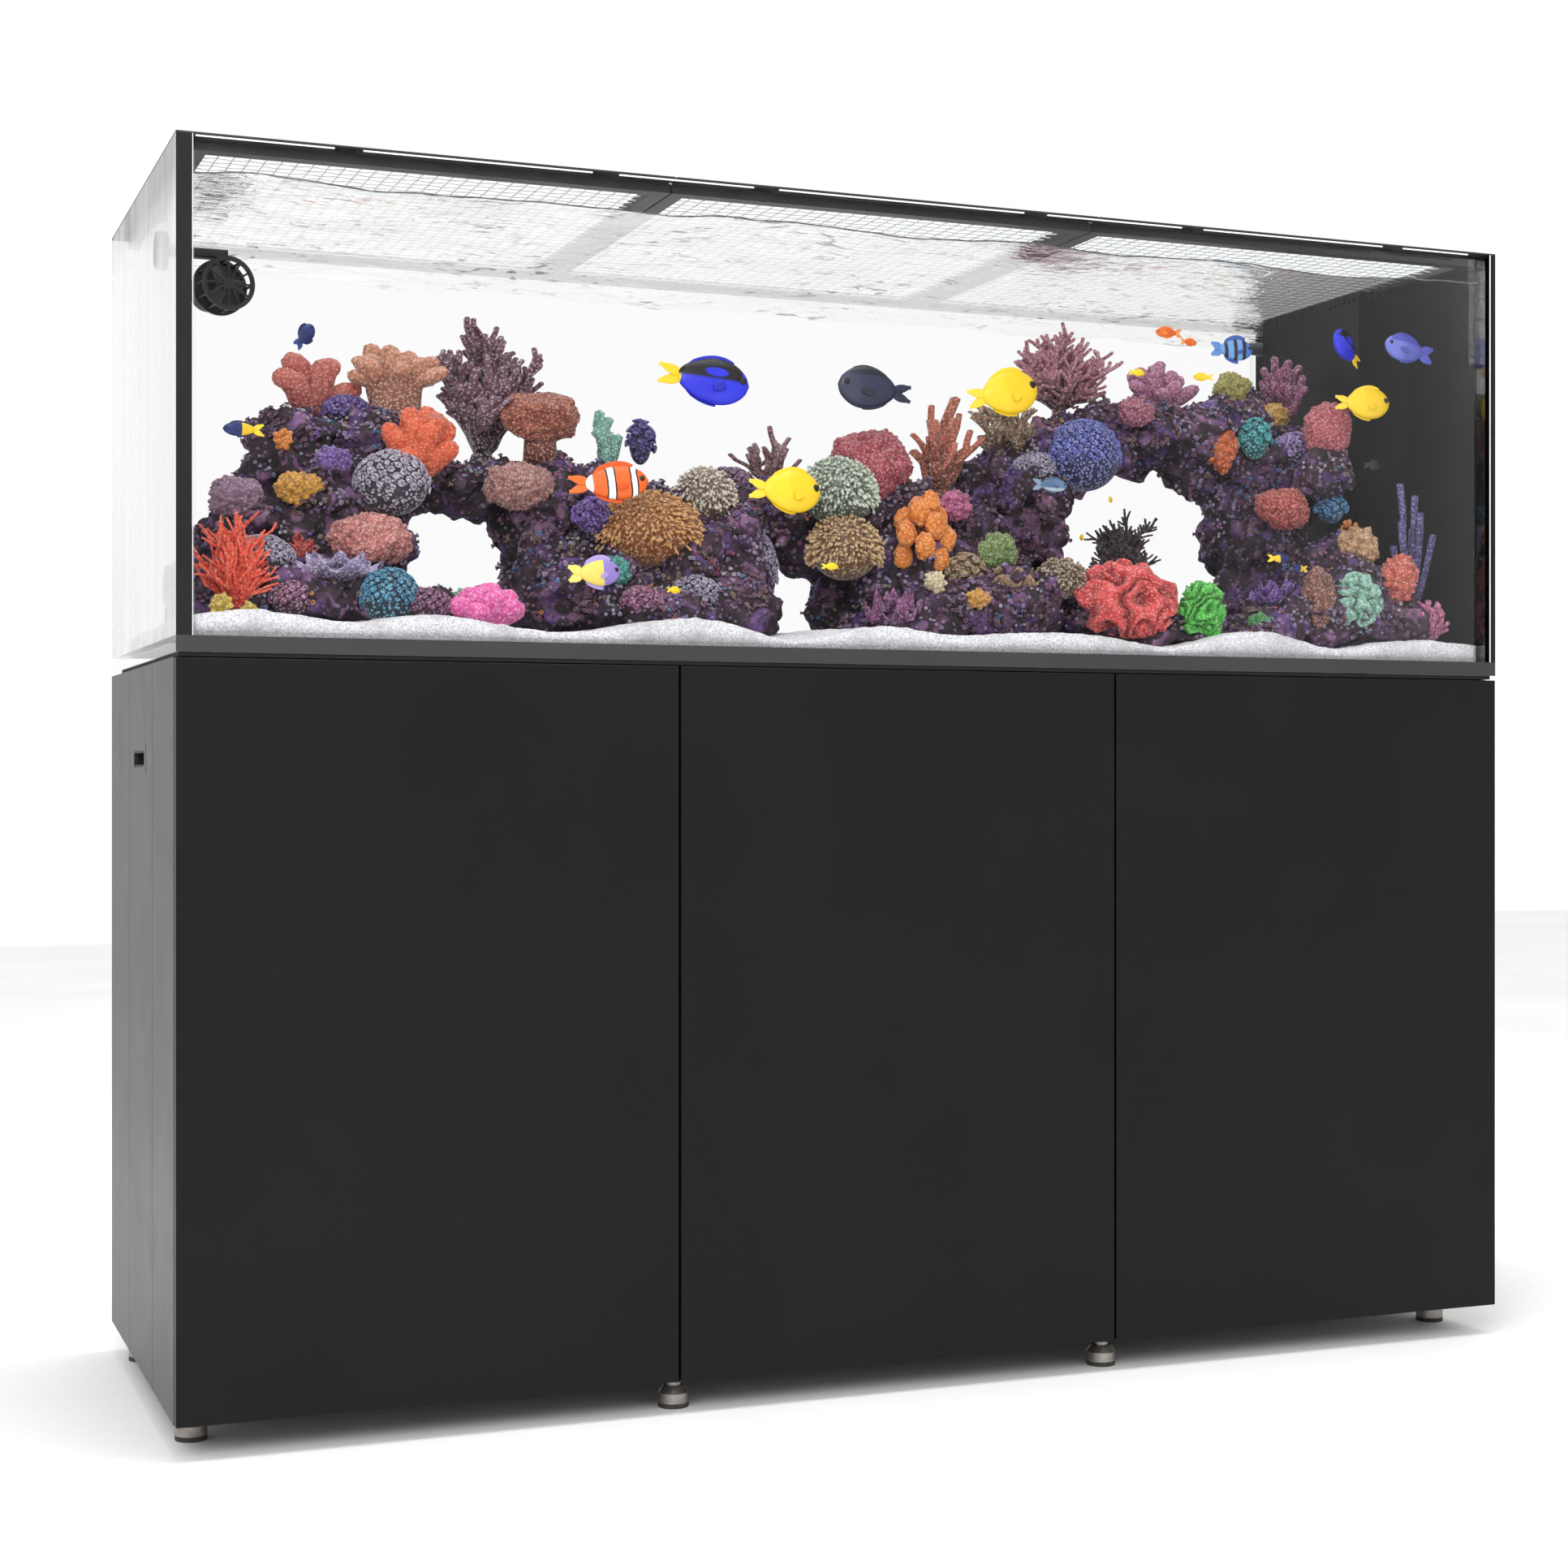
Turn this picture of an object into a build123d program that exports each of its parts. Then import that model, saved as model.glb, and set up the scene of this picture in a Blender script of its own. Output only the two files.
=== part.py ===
"""Six-foot reef aquarium on a cabinet stand with its sump, lids, pumps and doors.

Millimetres.  Origin on the floor under the middle of the footprint, +X to the
right along the front, +Y to the back, +Z up.  One STEP per piece in parts/.
"""
from build123d import *
import os

# ---------------------------------------------------------------- driving dimensions
WIDTH = 1829.0
DEPTH = 620.0
FOOT_H = 40.0
CABINET_H = 885.0
MAT_T = 5.0
TANK_H = 594.0
CLIP_T = 2.0

GLASS = 18.0
BASE_GLASS = 19.0
TRIM_T = 1.0
FILM_T = 1.0
STRIP_T = 0.8
RIGHT_STRIP_W = 8.0
BEAD = 6.0

DOOR_T = 20.0
DOOR_GAP = 3.0
DOOR_REVEAL = 2.0
BOARD = 19.0
BACK_T = 12.0

# ---------------------------------------------------------------- levels and edges
LEFT = -WIDTH / 2
RIGHT = WIDTH / 2
FRONT = -DEPTH / 2
REAR = DEPTH / 2
CAB_BOTTOM = FOOT_H
CAB_TOP = FOOT_H + CABINET_H
TANK_BOTTOM = CAB_TOP + MAT_T
FLOOR_GLASS_TOP = TANK_BOTTOM + BASE_GLASS
RIM = TANK_BOTTOM + TANK_H
TANK_IN_X = WIDTH / 2 - GLASS
TANK_IN_Y = DEPTH / 2 - GLASS
CARCASS_FRONT = FRONT + DOOR_T + DOOR_REVEAL
BAY_FLOOR = CAB_BOTTOM + BOARD
BAY_CEILING = CAB_TOP - BOARD
SIDE_IN = WIDTH / 2 - BOARD
SEAM = WIDTH / 6

# ---------------------------------------------------------------- overflow and plumbing
WEIR_X = RIGHT - 103.0
WEIR_HALF = 128.0
WEIR_WALL = 5.0
WEIR_TOP = 1480.0
COMB_H = 20.0
COMB_TOOTH = 6.0
COMB_PITCH = 12.0
PIPE_X = 852.0
DRAIN_Y = -60.0
RETURN_Y = 60.0
DRAIN_R = 20.0
RETURN_R = 16.0
PIPE_WALL = 3.0
FIT = 0.2
NOZZLE_Z = 1462.0
NOZZLE_Y = WEIR_HALF + 32.0

# ---------------------------------------------------------------- wave pump
PUMP_X = LEFT + 95.0
PUMP_Z = 1408.0
PUMP_YAW = 10.0
CAGE_R = 35.5
CAGE_BARS = 12
MOTOR_R = 24.0
ARM_Z = 37.0
ARM_H = 12.0
PIN_R = 3.9
PIN_CLEARANCE = 0.08

# ---------------------------------------------------------------- lids
LID_BAR_W = 20.0
LID_BAR_H = 12.0
LID_DROP = 2.0
LID_EDGES = ((19.0, 604.0), (606.0, 1193.0), (1195.0, 1810.0))
LID_CLIPS = ((199.0, 514.0), (724.0, 1101.0), (1337.0, 1656.0))
LID_NAMES = ("left", "middle", "right")
CLIP_W = 25.0
NET_T = 0.6

# ---------------------------------------------------------------- cabinet fittings
PARTITION_X = -SEAM
STILE_X = SEAM
STILE_W = 80.0
HINGE_Z = (140.0, 482.0, 825.0)
CUP_R = 17.3
CUP_IN = 22.5
LATCH_X = (-335.0, 250.0, 360.0)
LATCH_W = 14.0
LATCH_L = 60.0
PLUNGER_R = 3.0
PORT_Y = (-31.0, 70.0)
PORT_Z = (799.0, 820.0)
PORT_WALL = 3.0
FOOT_SPOTS = ((33, 110), (617, 47), (1223, 47), (1799, 112),
              (33, 548), (617, 548), (1223, 548), (1799, 548))
FOOT_R = 19.0
STEM_R = 7.0

# ---------------------------------------------------------------- reef and sump
SAND_TOP = 972.0
ROCK_FRONT = -70.0
ROCK_BACK = 130.0
SUMP = (-240.0, 700.0, -190.0, 220.0)
SUMP_H = 400.0
SUMP_GLASS = 8.0
PUMP_BOX_X = -150.0
SKIMMER_X = 250.0
VALVE_Z = 760.0


# ---------------------------------------------------------------- helpers
def block(x0, x1, y0, y1, z0, z1):
    """Box between three pairs of coordinates."""
    centre = Pos((x0 + x1) / 2, (y0 + y1) / 2, (z0 + z1) / 2)
    return centre * Box(x1 - x0, y1 - y0, z1 - z0)


def upright(x, y, z0, z1, radius):
    """Vertical cylinder from z0 to z1."""
    return Pos(x, y, (z0 + z1) / 2) * Cylinder(radius, z1 - z0)


def along_y(x, y0, y1, z, radius):
    """Cylinder lying front to back."""
    return Pos(x, (y0 + y1) / 2, z) * Rot(90, 0, 0) * Cylinder(radius, y1 - y0)


def along_x(x0, x1, y, z, radius):
    """Cylinder lying left to right."""
    return Pos((x0 + x1) / 2, y, z) * Rot(0, 90, 0) * Cylinder(radius, x1 - x0)


def from_left(a):
    """X of a place measured from the left end."""
    return LEFT + a


def rounded(shape, radius, axis=None):
    """Same solid with its edges, or only those along one axis, rounded."""
    edges = shape.edges() if axis is None else shape.edges().filter_by(axis)
    return fillet(edges, radius)


def run_of_pipe(points, radius):
    """Straight lengths between the points, with a ball at every elbow."""
    shape = None
    for start, end in zip(points, points[1:]):
        way = Vector(*end) - Vector(*start)
        middle = (Vector(*end) + Vector(*start)) / 2
        length = Plane(origin=middle, z_dir=way) * Cylinder(radius, way.length)
        shape = length if shape is None else shape + length
    for elbow in points[1:-1]:
        shape = shape + Pos(*elbow) * Sphere(radius)
    return shape


def hollow_pipe(points, radius):
    """Pipe of constant wall, open at both ends."""
    first = Vector(*points[0])
    last = Vector(*points[-1])
    before = first - (Vector(*points[1]) - first).normalized()
    after = last + (last - Vector(*points[-2])).normalized()
    bore_points = [tuple(before)] + list(points[1:-1]) + [tuple(after)]
    return run_of_pipe(points, radius) - run_of_pipe(bore_points, radius - PIPE_WALL)


def group(shapes):
    """Separate solids kept together as one node."""
    return Compound(children=[s for shape in shapes for s in shape.solids()])


# ---------------------------------------------------------------- tank
def glass_base():
    plate = block(LEFT, RIGHT, FRONT + TRIM_T, REAR,
                  TANK_BOTTOM, FLOOR_GLASS_TOP)
    plate = plate - upright(PIPE_X, DRAIN_Y, TANK_BOTTOM - 1, RIM, DRAIN_R + 5 + FIT)
    return plate - upright(PIPE_X, RETURN_Y, TANK_BOTTOM - 1, RIM, RETURN_R + 5 + FIT)


def base_edge_trim():
    return block(LEFT, RIGHT, FRONT, FRONT + TRIM_T, TANK_BOTTOM, FLOOR_GLASS_TOP)


def glass_front():
    return block(-TANK_IN_X, TANK_IN_X, FRONT, FRONT + GLASS, FLOOR_GLASS_TOP, RIM)


def glass_rear():
    return block(-TANK_IN_X, TANK_IN_X, REAR - GLASS, REAR, FLOOR_GLASS_TOP, RIM)


def glass_left_end():
    return block(LEFT, -TANK_IN_X, FRONT + STRIP_T, REAR, FLOOR_GLASS_TOP, RIM)


def glass_right_end():
    return block(TANK_IN_X, RIGHT - FILM_T, FRONT + STRIP_T, REAR, FLOOR_GLASS_TOP, RIM)


def right_end_film():
    return block(RIGHT - FILM_T, RIGHT, FRONT + STRIP_T, REAR, FLOOR_GLASS_TOP, RIM)


def edge_strips():
    """Dark strips that cap the front edges of the two end panes."""
    left = block(LEFT, -TANK_IN_X, FRONT, FRONT + STRIP_T, FLOOR_GLASS_TOP, RIM)
    right = block(RIGHT - RIGHT_STRIP_W, RIGHT, FRONT, FRONT + STRIP_T, FLOOR_GLASS_TOP, RIM)
    return group([left, right])


def bead_profile(plane, x_way, y_way, length):
    """Right-angled triangular bead laid along a plane's normal."""
    corner = plane * Polygon((0, 0), (x_way * BEAD, 0), (0, y_way * BEAD), align=None)
    return extrude(corner, amount=length, dir=plane.z_dir)


def silicone_seams():
    beads = []
    below_lids = RIM - LID_DROP - LID_BAR_H - 2
    for sx in (-1, 1):
        for sy in (-1, 1):
            corner = Plane(origin=(sx * TANK_IN_X, sy * TANK_IN_Y, FLOOR_GLASS_TOP), z_dir=(0, 0, 1),
                           x_dir=(1, 0, 0))
            beads.append(bead_profile(corner, -sx, -sy, below_lids - FLOOR_GLASS_TOP))
    for sy in (-1, 1):
        seam = Plane(origin=(-TANK_IN_X + BEAD, sy * TANK_IN_Y, FLOOR_GLASS_TOP), z_dir=(1, 0, 0),
                     x_dir=(0, 1, 0))
        beads.append(bead_profile(seam, -sy, 1, 2 * (TANK_IN_X - BEAD)))
    return group(beads)


def levelling_mat():
    mat = block(LEFT + 3, RIGHT - 7, FRONT + 3, REAR - 90, CAB_TOP, TANK_BOTTOM)
    return mat - plumbing_well(CAB_TOP - 1, TANK_BOTTOM + 1)


def plumbing_well(z0, z1):
    """Cut-out under the overflow that the bulkheads hang in."""
    return block(PIPE_X - 42, PIPE_X + 41, DRAIN_Y - 42, RETURN_Y + 42, z0, z1)


# ---------------------------------------------------------------- overflow and plumbing
def weir_shell(z0, z1):
    """Three-sided wall standing against the right end pane."""
    outer = block(WEIR_X, TANK_IN_X, -WEIR_HALF, WEIR_HALF, z0, z1)
    return outer - block(WEIR_X + WEIR_WALL, TANK_IN_X + 1, -WEIR_HALF + WEIR_WALL,
                         WEIR_HALF - WEIR_WALL, z0 - 1, z1 + 1)


def overflow_box():
    hole = along_y(PIPE_X - 8, WEIR_HALF - 8, WEIR_HALF + 1, NOZZLE_Z, 11.0 + FIT)
    return weir_shell(FLOOR_GLASS_TOP, WEIR_TOP) - hole


def weir_comb():
    comb = weir_shell(WEIR_TOP, WEIR_TOP + COMB_H)
    count = int(2 * (WEIR_HALF - 12) / COMB_PITCH)
    for i in range(count + 1):
        y = -WEIR_HALF + 12 + i * COMB_PITCH
        comb = comb - block(WEIR_X - 1, WEIR_X + WEIR_WALL + 1, y - COMB_TOOTH / 2, y + COMB_TOOTH / 2,
                            WEIR_TOP + 5, WEIR_TOP + COMB_H + 1)
    for x in (WEIR_X + 18, WEIR_X + 30, WEIR_X + 42, WEIR_X + 54, WEIR_X + 66):
        for sy in (-1, 1):
            wall_mid = sy * (WEIR_HALF - WEIR_WALL / 2)
            comb = comb - block(x - COMB_TOOTH / 2, x + COMB_TOOTH / 2, wall_mid - WEIR_WALL,
                                wall_mid + WEIR_WALL, WEIR_TOP + 5, WEIR_TOP + COMB_H + 1)
    return comb


def bulkhead(y, pipe_radius):
    """Threaded tank connector: flange, barrel and nut round a pipe."""
    bore = pipe_radius + FIT
    shape = upright(PIPE_X, y, CAB_TOP - 25, FLOOR_GLASS_TOP, pipe_radius + 5)
    shape = shape + upright(PIPE_X, y, FLOOR_GLASS_TOP, FLOOR_GLASS_TOP + 8, pipe_radius + 15)
    nut = extrude(Plane(origin=(PIPE_X, y, TANK_BOTTOM - 22)) * RegularPolygon(pipe_radius + 17, 6), 22)
    shape = shape + nut
    return shape - upright(PIPE_X, y, CAB_TOP - 30, FLOOR_GLASS_TOP + 10, bore)


def bulkhead_fittings():
    return group([bulkhead(DRAIN_Y, DRAIN_R), bulkhead(RETURN_Y, RETURN_R)])


def drain_standpipe():
    pipe = hollow_pipe([(PIPE_X, DRAIN_Y, FLOOR_GLASS_TOP - 10), (PIPE_X, DRAIN_Y, WEIR_TOP - 40)], DRAIN_R)
    for z in (1400.0, 1420.0):
        pipe = pipe - along_y(PIPE_X, DRAIN_Y - 30, DRAIN_Y + 30, z, 4.0)
    return pipe


def return_riser():
    points = [(PIPE_X, RETURN_Y, FLOOR_GLASS_TOP - 10), (PIPE_X, RETURN_Y, NOZZLE_Z),
              (PIPE_X - 8, RETURN_Y + 30, NOZZLE_Z)]
    riser = run_of_pipe(points[:2], RETURN_R) + Pos(*points[1]) * Sphere(RETURN_R)
    riser = riser + run_of_pipe([points[1], points[2]], 11.0) + Pos(*points[2]) * Sphere(11.0)
    riser = riser + along_y(PIPE_X - 8, RETURN_Y + 30, NOZZLE_Y - 9, NOZZLE_Z, 11.0)
    return riser - upright(PIPE_X, RETURN_Y, FLOOR_GLASS_TOP - 20, NOZZLE_Z, RETURN_R - PIPE_WALL)


def return_nozzle():
    x = PIPE_X - 8
    ball = Pos(x, NOZZLE_Y + 5, NOZZLE_Z) * Sphere(13.0)
    socket = along_y(x, NOZZLE_Y - 8.7, NOZZLE_Y + 5, NOZZLE_Z, 12.0)
    spout = Pos(x - 22, NOZZLE_Y + 5, NOZZLE_Z) * Rot(0, -90, 0) * Cone(11.5, 8.5, 44)
    lip = along_x(x - 56, x - 42, NOZZLE_Y + 5, NOZZLE_Z, 9.5)
    bore = along_x(x - 60, x - 14, NOZZLE_Y + 5, NOZZLE_Z, 6.5)
    return ball + socket + spout + lip - bore


# ---------------------------------------------------------------- wave pump
def at_pump(shape):
    """Turns a shape made round the pump's centre to the pump's rest yaw."""
    return Pos(PUMP_X, 0, PUMP_Z) * Rot(0, 0, PUMP_YAW) * shape


def pump_holder():
    puck = along_x(-TANK_IN_X, -TANK_IN_X + 14, 0, PUMP_Z + ARM_Z + ARM_H / 2, 24.0)
    arm = block(-TANK_IN_X + 14, PUMP_X + 12, -9, 9, PUMP_Z + ARM_Z, PUMP_Z + ARM_Z + ARM_H)
    arm = rounded(arm, 3.0, Axis.X)
    pin = upright(PUMP_X, 0, PUMP_Z + MOTOR_R, PUMP_Z + ARM_Z, PIN_R)
    return rounded(puck, 2.0) + arm + pin


def pump_body():
    motor = along_y(0, -4, 42, 0, MOTOR_R)
    motor = fillet(motor.edges(), 4.0)
    boss = upright(0, 0, MOTOR_R - 6, ARM_Z - 1, 5.9)
    cord_gland = along_y(0, 42, 50, 0, 5.0)
    collar = along_y(0, -6, -4, 0, CAGE_R - 1)
    body = motor + boss + cord_gland + collar
    return at_pump(body - upright(0, 0, MOTOR_R - 6, ARM_Z, PIN_R + PIN_CLEARANCE))


def pump_cage():
    rim = along_y(0, -10, -6, 0, CAGE_R) - along_y(0, -11, -5, 0, CAGE_R - 4)
    nose = along_y(0, -44, -41, 0, CAGE_R - 1.5) - along_y(0, -45, -40, 0, CAGE_R - 7)
    cage = rim + nose + along_y(0, -44, -41, 0, 8.0)
    for i in range(CAGE_BARS):
        bar = block(CAGE_R - 5.5, CAGE_R - 2.5, -42, -8, -1.2, 1.2)
        spoke = block(5, CAGE_R - 4, -43.5, -41.5, -1.2, 1.2)
        cage = cage + Rot(0, i * 360 / CAGE_BARS, 0) * (bar + spoke)
    return at_pump(cage)


def pump_propeller():
    hub = along_y(0, -36, -12, 0, 6.5)
    blades = hub
    for i in range(3):
        blade = block(4, 26, -1.2, 1.2, -8, 8)
        blades = blades + Rot(0, i * 120, 0) * Pos(0, -24, 0) * Rot(32, 0, 0) * blade
    return at_pump(blades)


# ---------------------------------------------------------------- lids
def lid_frame(index):
    """Square bars inside the rim, hung by clips from thin flanges that lie on the glass."""
    a0, a1 = LID_EDGES[index]
    x0 = from_left(a0)
    x1 = from_left(a1)
    y1 = TANK_IN_Y - 1.5
    z1 = RIM - LID_DROP
    z0 = z1 - LID_BAR_H
    frame = block(x0, x1, -y1, y1, z0, z1)
    frame = frame - block(x0 + LID_BAR_W, x1 - LID_BAR_W, -y1 + LID_BAR_W, y1 - LID_BAR_W, z0 - 1, z1 + 1)
    flange_x = (LEFT if index == 0 else x0, RIGHT if index == 2 else x1)
    for sy in (-1, 1):
        frame = frame + block(*flange_x, *sorted((sy * REAR, sy * (y1 - 8))), RIM, RIM + CLIP_T)
        for a in LID_CLIPS[index]:
            x = from_left(a)
            frame = frame + block(x - CLIP_W / 2, x + CLIP_W / 2, *sorted((sy * y1, sy * (y1 - 8))),
                                  z1 - 2, RIM + CLIP_T)
    if index != 1:
        end = sorted((flange_x[index // 2], (x0 + 8, x1 - 8)[index // 2]))
        frame = frame + block(*end, -y1 + 7, y1 - 7, RIM, RIM + CLIP_T)
    return frame


def lid_net(index):
    a0, a1 = LID_EDGES[index]
    y1 = TANK_IN_Y - 1.5 - LID_BAR_W
    z = RIM - LID_DROP - LID_BAR_H / 2
    return block(from_left(a0) + LID_BAR_W, from_left(a1) - LID_BAR_W, -y1, y1, z - NET_T / 2, z + NET_T / 2)


# ---------------------------------------------------------------- sand and rock
def sand_bed():
    inset = BEAD + 0.5
    bed = block(-TANK_IN_X + inset, TANK_IN_X - inset, -TANK_IN_Y + inset, TANK_IN_Y - inset,
                FLOOR_GLASS_TOP, SAND_TOP)
    return bed - block(WEIR_X - 1, RIGHT, -WEIR_HALF - 1, WEIR_HALF + 1, FLOOR_GLASS_TOP - 1, SAND_TOP + 1)


def rock(outline, y0, y1):
    """Stone with the given outline, seen from the front, from y0 back to y1."""
    points = [(from_left(a), z) for a, z in outline]
    face = Plane(origin=(0, y1, 0), x_dir=(1, 0, 0), z_dir=(0, -1, 0)) * Polygon(*points, align=None)
    return extrude(face, amount=y1 - y0)


def reef_rock_left():
    tower = rock(((70, SAND_TOP), (330, SAND_TOP), (330, 1200), (290, 1255), (180, 1255), (90, 1120)),
                 ROCK_FRONT, ROCK_BACK)
    bridge = rock(((330, 1130), (480, 1120), (480, 1165), (330, 1198)), ROCK_FRONT + 20, ROCK_BACK - 20)
    return group([tower, bridge])


def reef_rock_centre():
    hill = rock(((480, SAND_TOP), (830, SAND_TOP), (830, 1090), (760, 1150), (500, 1165), (480, 1165)),
                ROCK_FRONT, ROCK_BACK)
    bridge = rock(((830, 1070), (930, 1070), (930, 1128), (830, 1090)), ROCK_FRONT + 20, ROCK_BACK - 20)
    mound = rock(((930, SAND_TOP), (1285, SAND_TOP), (1285, 1100), (1210, 1150), (960, 1150), (930, 1128)),
                 ROCK_FRONT, ROCK_BACK)
    return group([hill, bridge, mound])


def reef_rock_right():
    prop = rock(((1150, 1150), (1210, 1150), (1270, 1110), (1290, 1240), (1160, 1240)),
                ROCK_FRONT + 20, ROCK_BACK - 20)
    slab = rock(((1160, 1240), (1690, 1240), (1680, 1290), (1600, 1335), (1300, 1335), (1180, 1290)),
                ROCK_FRONT, ROCK_BACK)
    pillar = rock(((1545, SAND_TOP), (1700, SAND_TOP), (1690, 1240), (1560, 1240)), ROCK_FRONT, ROCK_BACK)
    toe = rock(((1560, SAND_TOP), (1790, SAND_TOP), (1780, 1040), (1640, 1120), (1580, 1060)), -275.0, -145.0)
    return group([prop, slab, pillar, toe])


# ---------------------------------------------------------------- cabinet
def side_panel(side):
    inner = side * SIDE_IN
    outer = side * RIGHT
    panel = block(min(inner, outer), max(inner, outer), CARCASS_FRONT, REAR, CAB_BOTTOM, CAB_TOP)
    for b in (203.0, 423.0):
        panel = panel - block(outer - 1.2, outer + 1.2, FRONT + b - 1, FRONT + b + 1,
                              CAB_BOTTOM - 1, CAB_TOP + 1)
    return panel


def cabinet_side_left():
    panel = side_panel(-1)
    panel = panel - block(LEFT - 1, -SIDE_IN + 1, PORT_Y[0], PORT_Y[1], PORT_Z[0], PORT_Z[1])
    return panel - block(LEFT - 1, LEFT + 6, PORT_Y[0] - 21, PORT_Y[0] - 11, PORT_Z[0] - 8, PORT_Z[1] + 9)


def cabinet_side_right():
    return side_panel(1)


def cable_port():
    tube = block(LEFT, -SIDE_IN + 4, PORT_Y[0], PORT_Y[1], PORT_Z[0], PORT_Z[1])
    tube = tube - block(LEFT - 1, -SIDE_IN + 5, PORT_Y[0] + PORT_WALL, PORT_Y[1] - PORT_WALL,
                        PORT_Z[0] + PORT_WALL, PORT_Z[1] - PORT_WALL)
    key = block(LEFT, LEFT + 6, PORT_Y[0] - 21, PORT_Y[0] - 11, PORT_Z[0] - 8, PORT_Z[1] + 9)
    return group([tube, key])


def cabinet_bottom():
    panel = block(-SIDE_IN, SIDE_IN, CARCASS_FRONT, REAR, CAB_BOTTOM, BAY_FLOOR)
    for a, b in FOOT_SPOTS:
        panel = panel - upright(from_left(a), FRONT + b, CAB_BOTTOM - 1, CAB_BOTTOM + 13, STEM_R + 0.05)
    return panel


def cabinet_top():
    panel = block(-SIDE_IN, SIDE_IN, CARCASS_FRONT, REAR, BAY_CEILING, CAB_TOP)
    return panel - plumbing_well(BAY_CEILING - 1, CAB_TOP + 1)


def cabinet_back():
    panel = block(-SIDE_IN, SIDE_IN, REAR - BACK_T, REAR, BAY_FLOOR, BAY_CEILING)
    for x in (-600.0, 300.0):
        panel = panel - block(x - 80, x + 80, REAR - BACK_T - 1, REAR + 1, 700, 810)
    return panel


def cabinet_partition():
    return block(PARTITION_X - BOARD / 2, PARTITION_X + BOARD / 2, CARCASS_FRONT, REAR - BACK_T,
                 BAY_FLOOR, BAY_CEILING)


def front_stile():
    return block(STILE_X - STILE_W / 2, STILE_X + STILE_W / 2, CARCASS_FRONT, CARCASS_FRONT + BOARD,
                 BAY_FLOOR, BAY_CEILING)


def door_span(index):
    """Left and right edges of a door, with half the gap taken off at each seam."""
    edges = (LEFT, -SEAM, SEAM, RIGHT)
    x0 = edges[index] + (0 if index == 0 else DOOR_GAP / 2)
    x1 = edges[index + 1] - (0 if index == 2 else DOOR_GAP / 2)
    return x0, x1


def cup_x(index):
    """Hinge cups stand near the hinged edge: left, left and right."""
    x0, x1 = door_span(index)
    return x1 - CUP_IN if index == 2 else x0 + CUP_IN


def door(index):
    x0, x1 = door_span(index)
    leaf = block(x0, x1, FRONT, FRONT + DOOR_T, CAB_BOTTOM + 1.5, CAB_TOP - 1.5)
    leaf = rounded(leaf, 1.2)
    for z in HINGE_Z:
        leaf = leaf - along_y(cup_x(index), FRONT + DOOR_T - 12, FRONT + DOOR_T + 1, z, CUP_R + 0.05)
    return leaf


def hinge_cups(index):
    cups = []
    x = cup_x(index)
    for z in HINGE_Z:
        cup = along_y(x, FRONT + DOOR_T - 12, FRONT + DOOR_T + 1.2, z, CUP_R)
        cup = cup - along_y(x, FRONT + DOOR_T - 10.5, FRONT + DOOR_T + 2, z, CUP_R - 1.5)
        cups.append(cup)
    return group(cups)


def hinge_arms():
    arms = []
    walls = ((-SIDE_IN, 1), (PARTITION_X + BOARD / 2, 1), (SIDE_IN, -1))
    for wall, way in walls:
        for z in HINGE_Z:
            plate = block(*sorted((wall, wall + way * 4)), CARCASS_FRONT + 20, CARCASS_FRONT + 75,
                          z - 20, z + 20)
            arm = block(*sorted((wall + way * 4, wall + way * 15)), CARCASS_FRONT + 1, CARCASS_FRONT + 70,
                        z - 7, z + 7)
            arms.append(plate + arm)
    return group(arms)


def latch_housings():
    z = BAY_CEILING - LATCH_W / 2
    shells = []
    for x in LATCH_X:
        shell = block(x - LATCH_W / 2, x + LATCH_W / 2, CARCASS_FRONT, CARCASS_FRONT + LATCH_L,
                      BAY_CEILING - LATCH_W, BAY_CEILING)
        shells.append(shell - along_y(x, CARCASS_FRONT - 1, CARCASS_FRONT + 50, z, PLUNGER_R + 0.06))
    return group(shells)


def latch_plunger(index):
    z = BAY_CEILING - LATCH_W / 2
    return along_y(LATCH_X[index], FRONT + DOOR_T + 0.3, CARCASS_FRONT + 40, z, PLUNGER_R)


def foot_bodies():
    feet = []
    for a, b in FOOT_SPOTS:
        x = from_left(a)
        y = FRONT + b
        foot = upright(x, y, 6, 18, FOOT_R)
        foot = foot + Pos(x, y, 22.5) * Cone(FOOT_R, 13, 9)
        foot = foot + upright(x, y, 27, 31, 10) + upright(x, y, 31, CAB_BOTTOM + 12, STEM_R)
        feet.append(foot)
    return group(feet)


def foot_pads():
    return group([upright(from_left(a), FRONT + b, 0, 6, FOOT_R) for a, b in FOOT_SPOTS])


# ---------------------------------------------------------------- sump
def sump_tank():
    x0, x1, y0, y1 = SUMP
    z0 = BAY_FLOOR
    z1 = BAY_FLOOR + SUMP_H
    g = SUMP_GLASS
    plates = [block(x0, x1, y0, y1, z0, z0 + g)]
    plates.append(block(x0, x1, y0, y0 + g, z0 + g, z1))
    plates.append(block(x0, x1, y1 - g, y1, z0 + g, z1))
    plates.append(block(x0, x0 + g, y0 + g, y1 - g, z0 + g, z1))
    plates.append(block(x1 - g, x1, y0 + g, y1 - g, z0 + g, z1))
    return group(plates)


def sump_baffles():
    x0, x1, y0, y1 = SUMP
    z0 = BAY_FLOOR + SUMP_GLASS
    g = SUMP_GLASS
    plates = []
    for x, low, high in ((-30.0, 0.0, 240.0), (0.0, 40.0, 280.0), (30.0, 0.0, 240.0), (430.0, 0.0, 260.0)):
        plates.append(block(x, x + 6, y0 + g, y1 - g, z0 + low, z0 + high))
    return group(plates)


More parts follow.
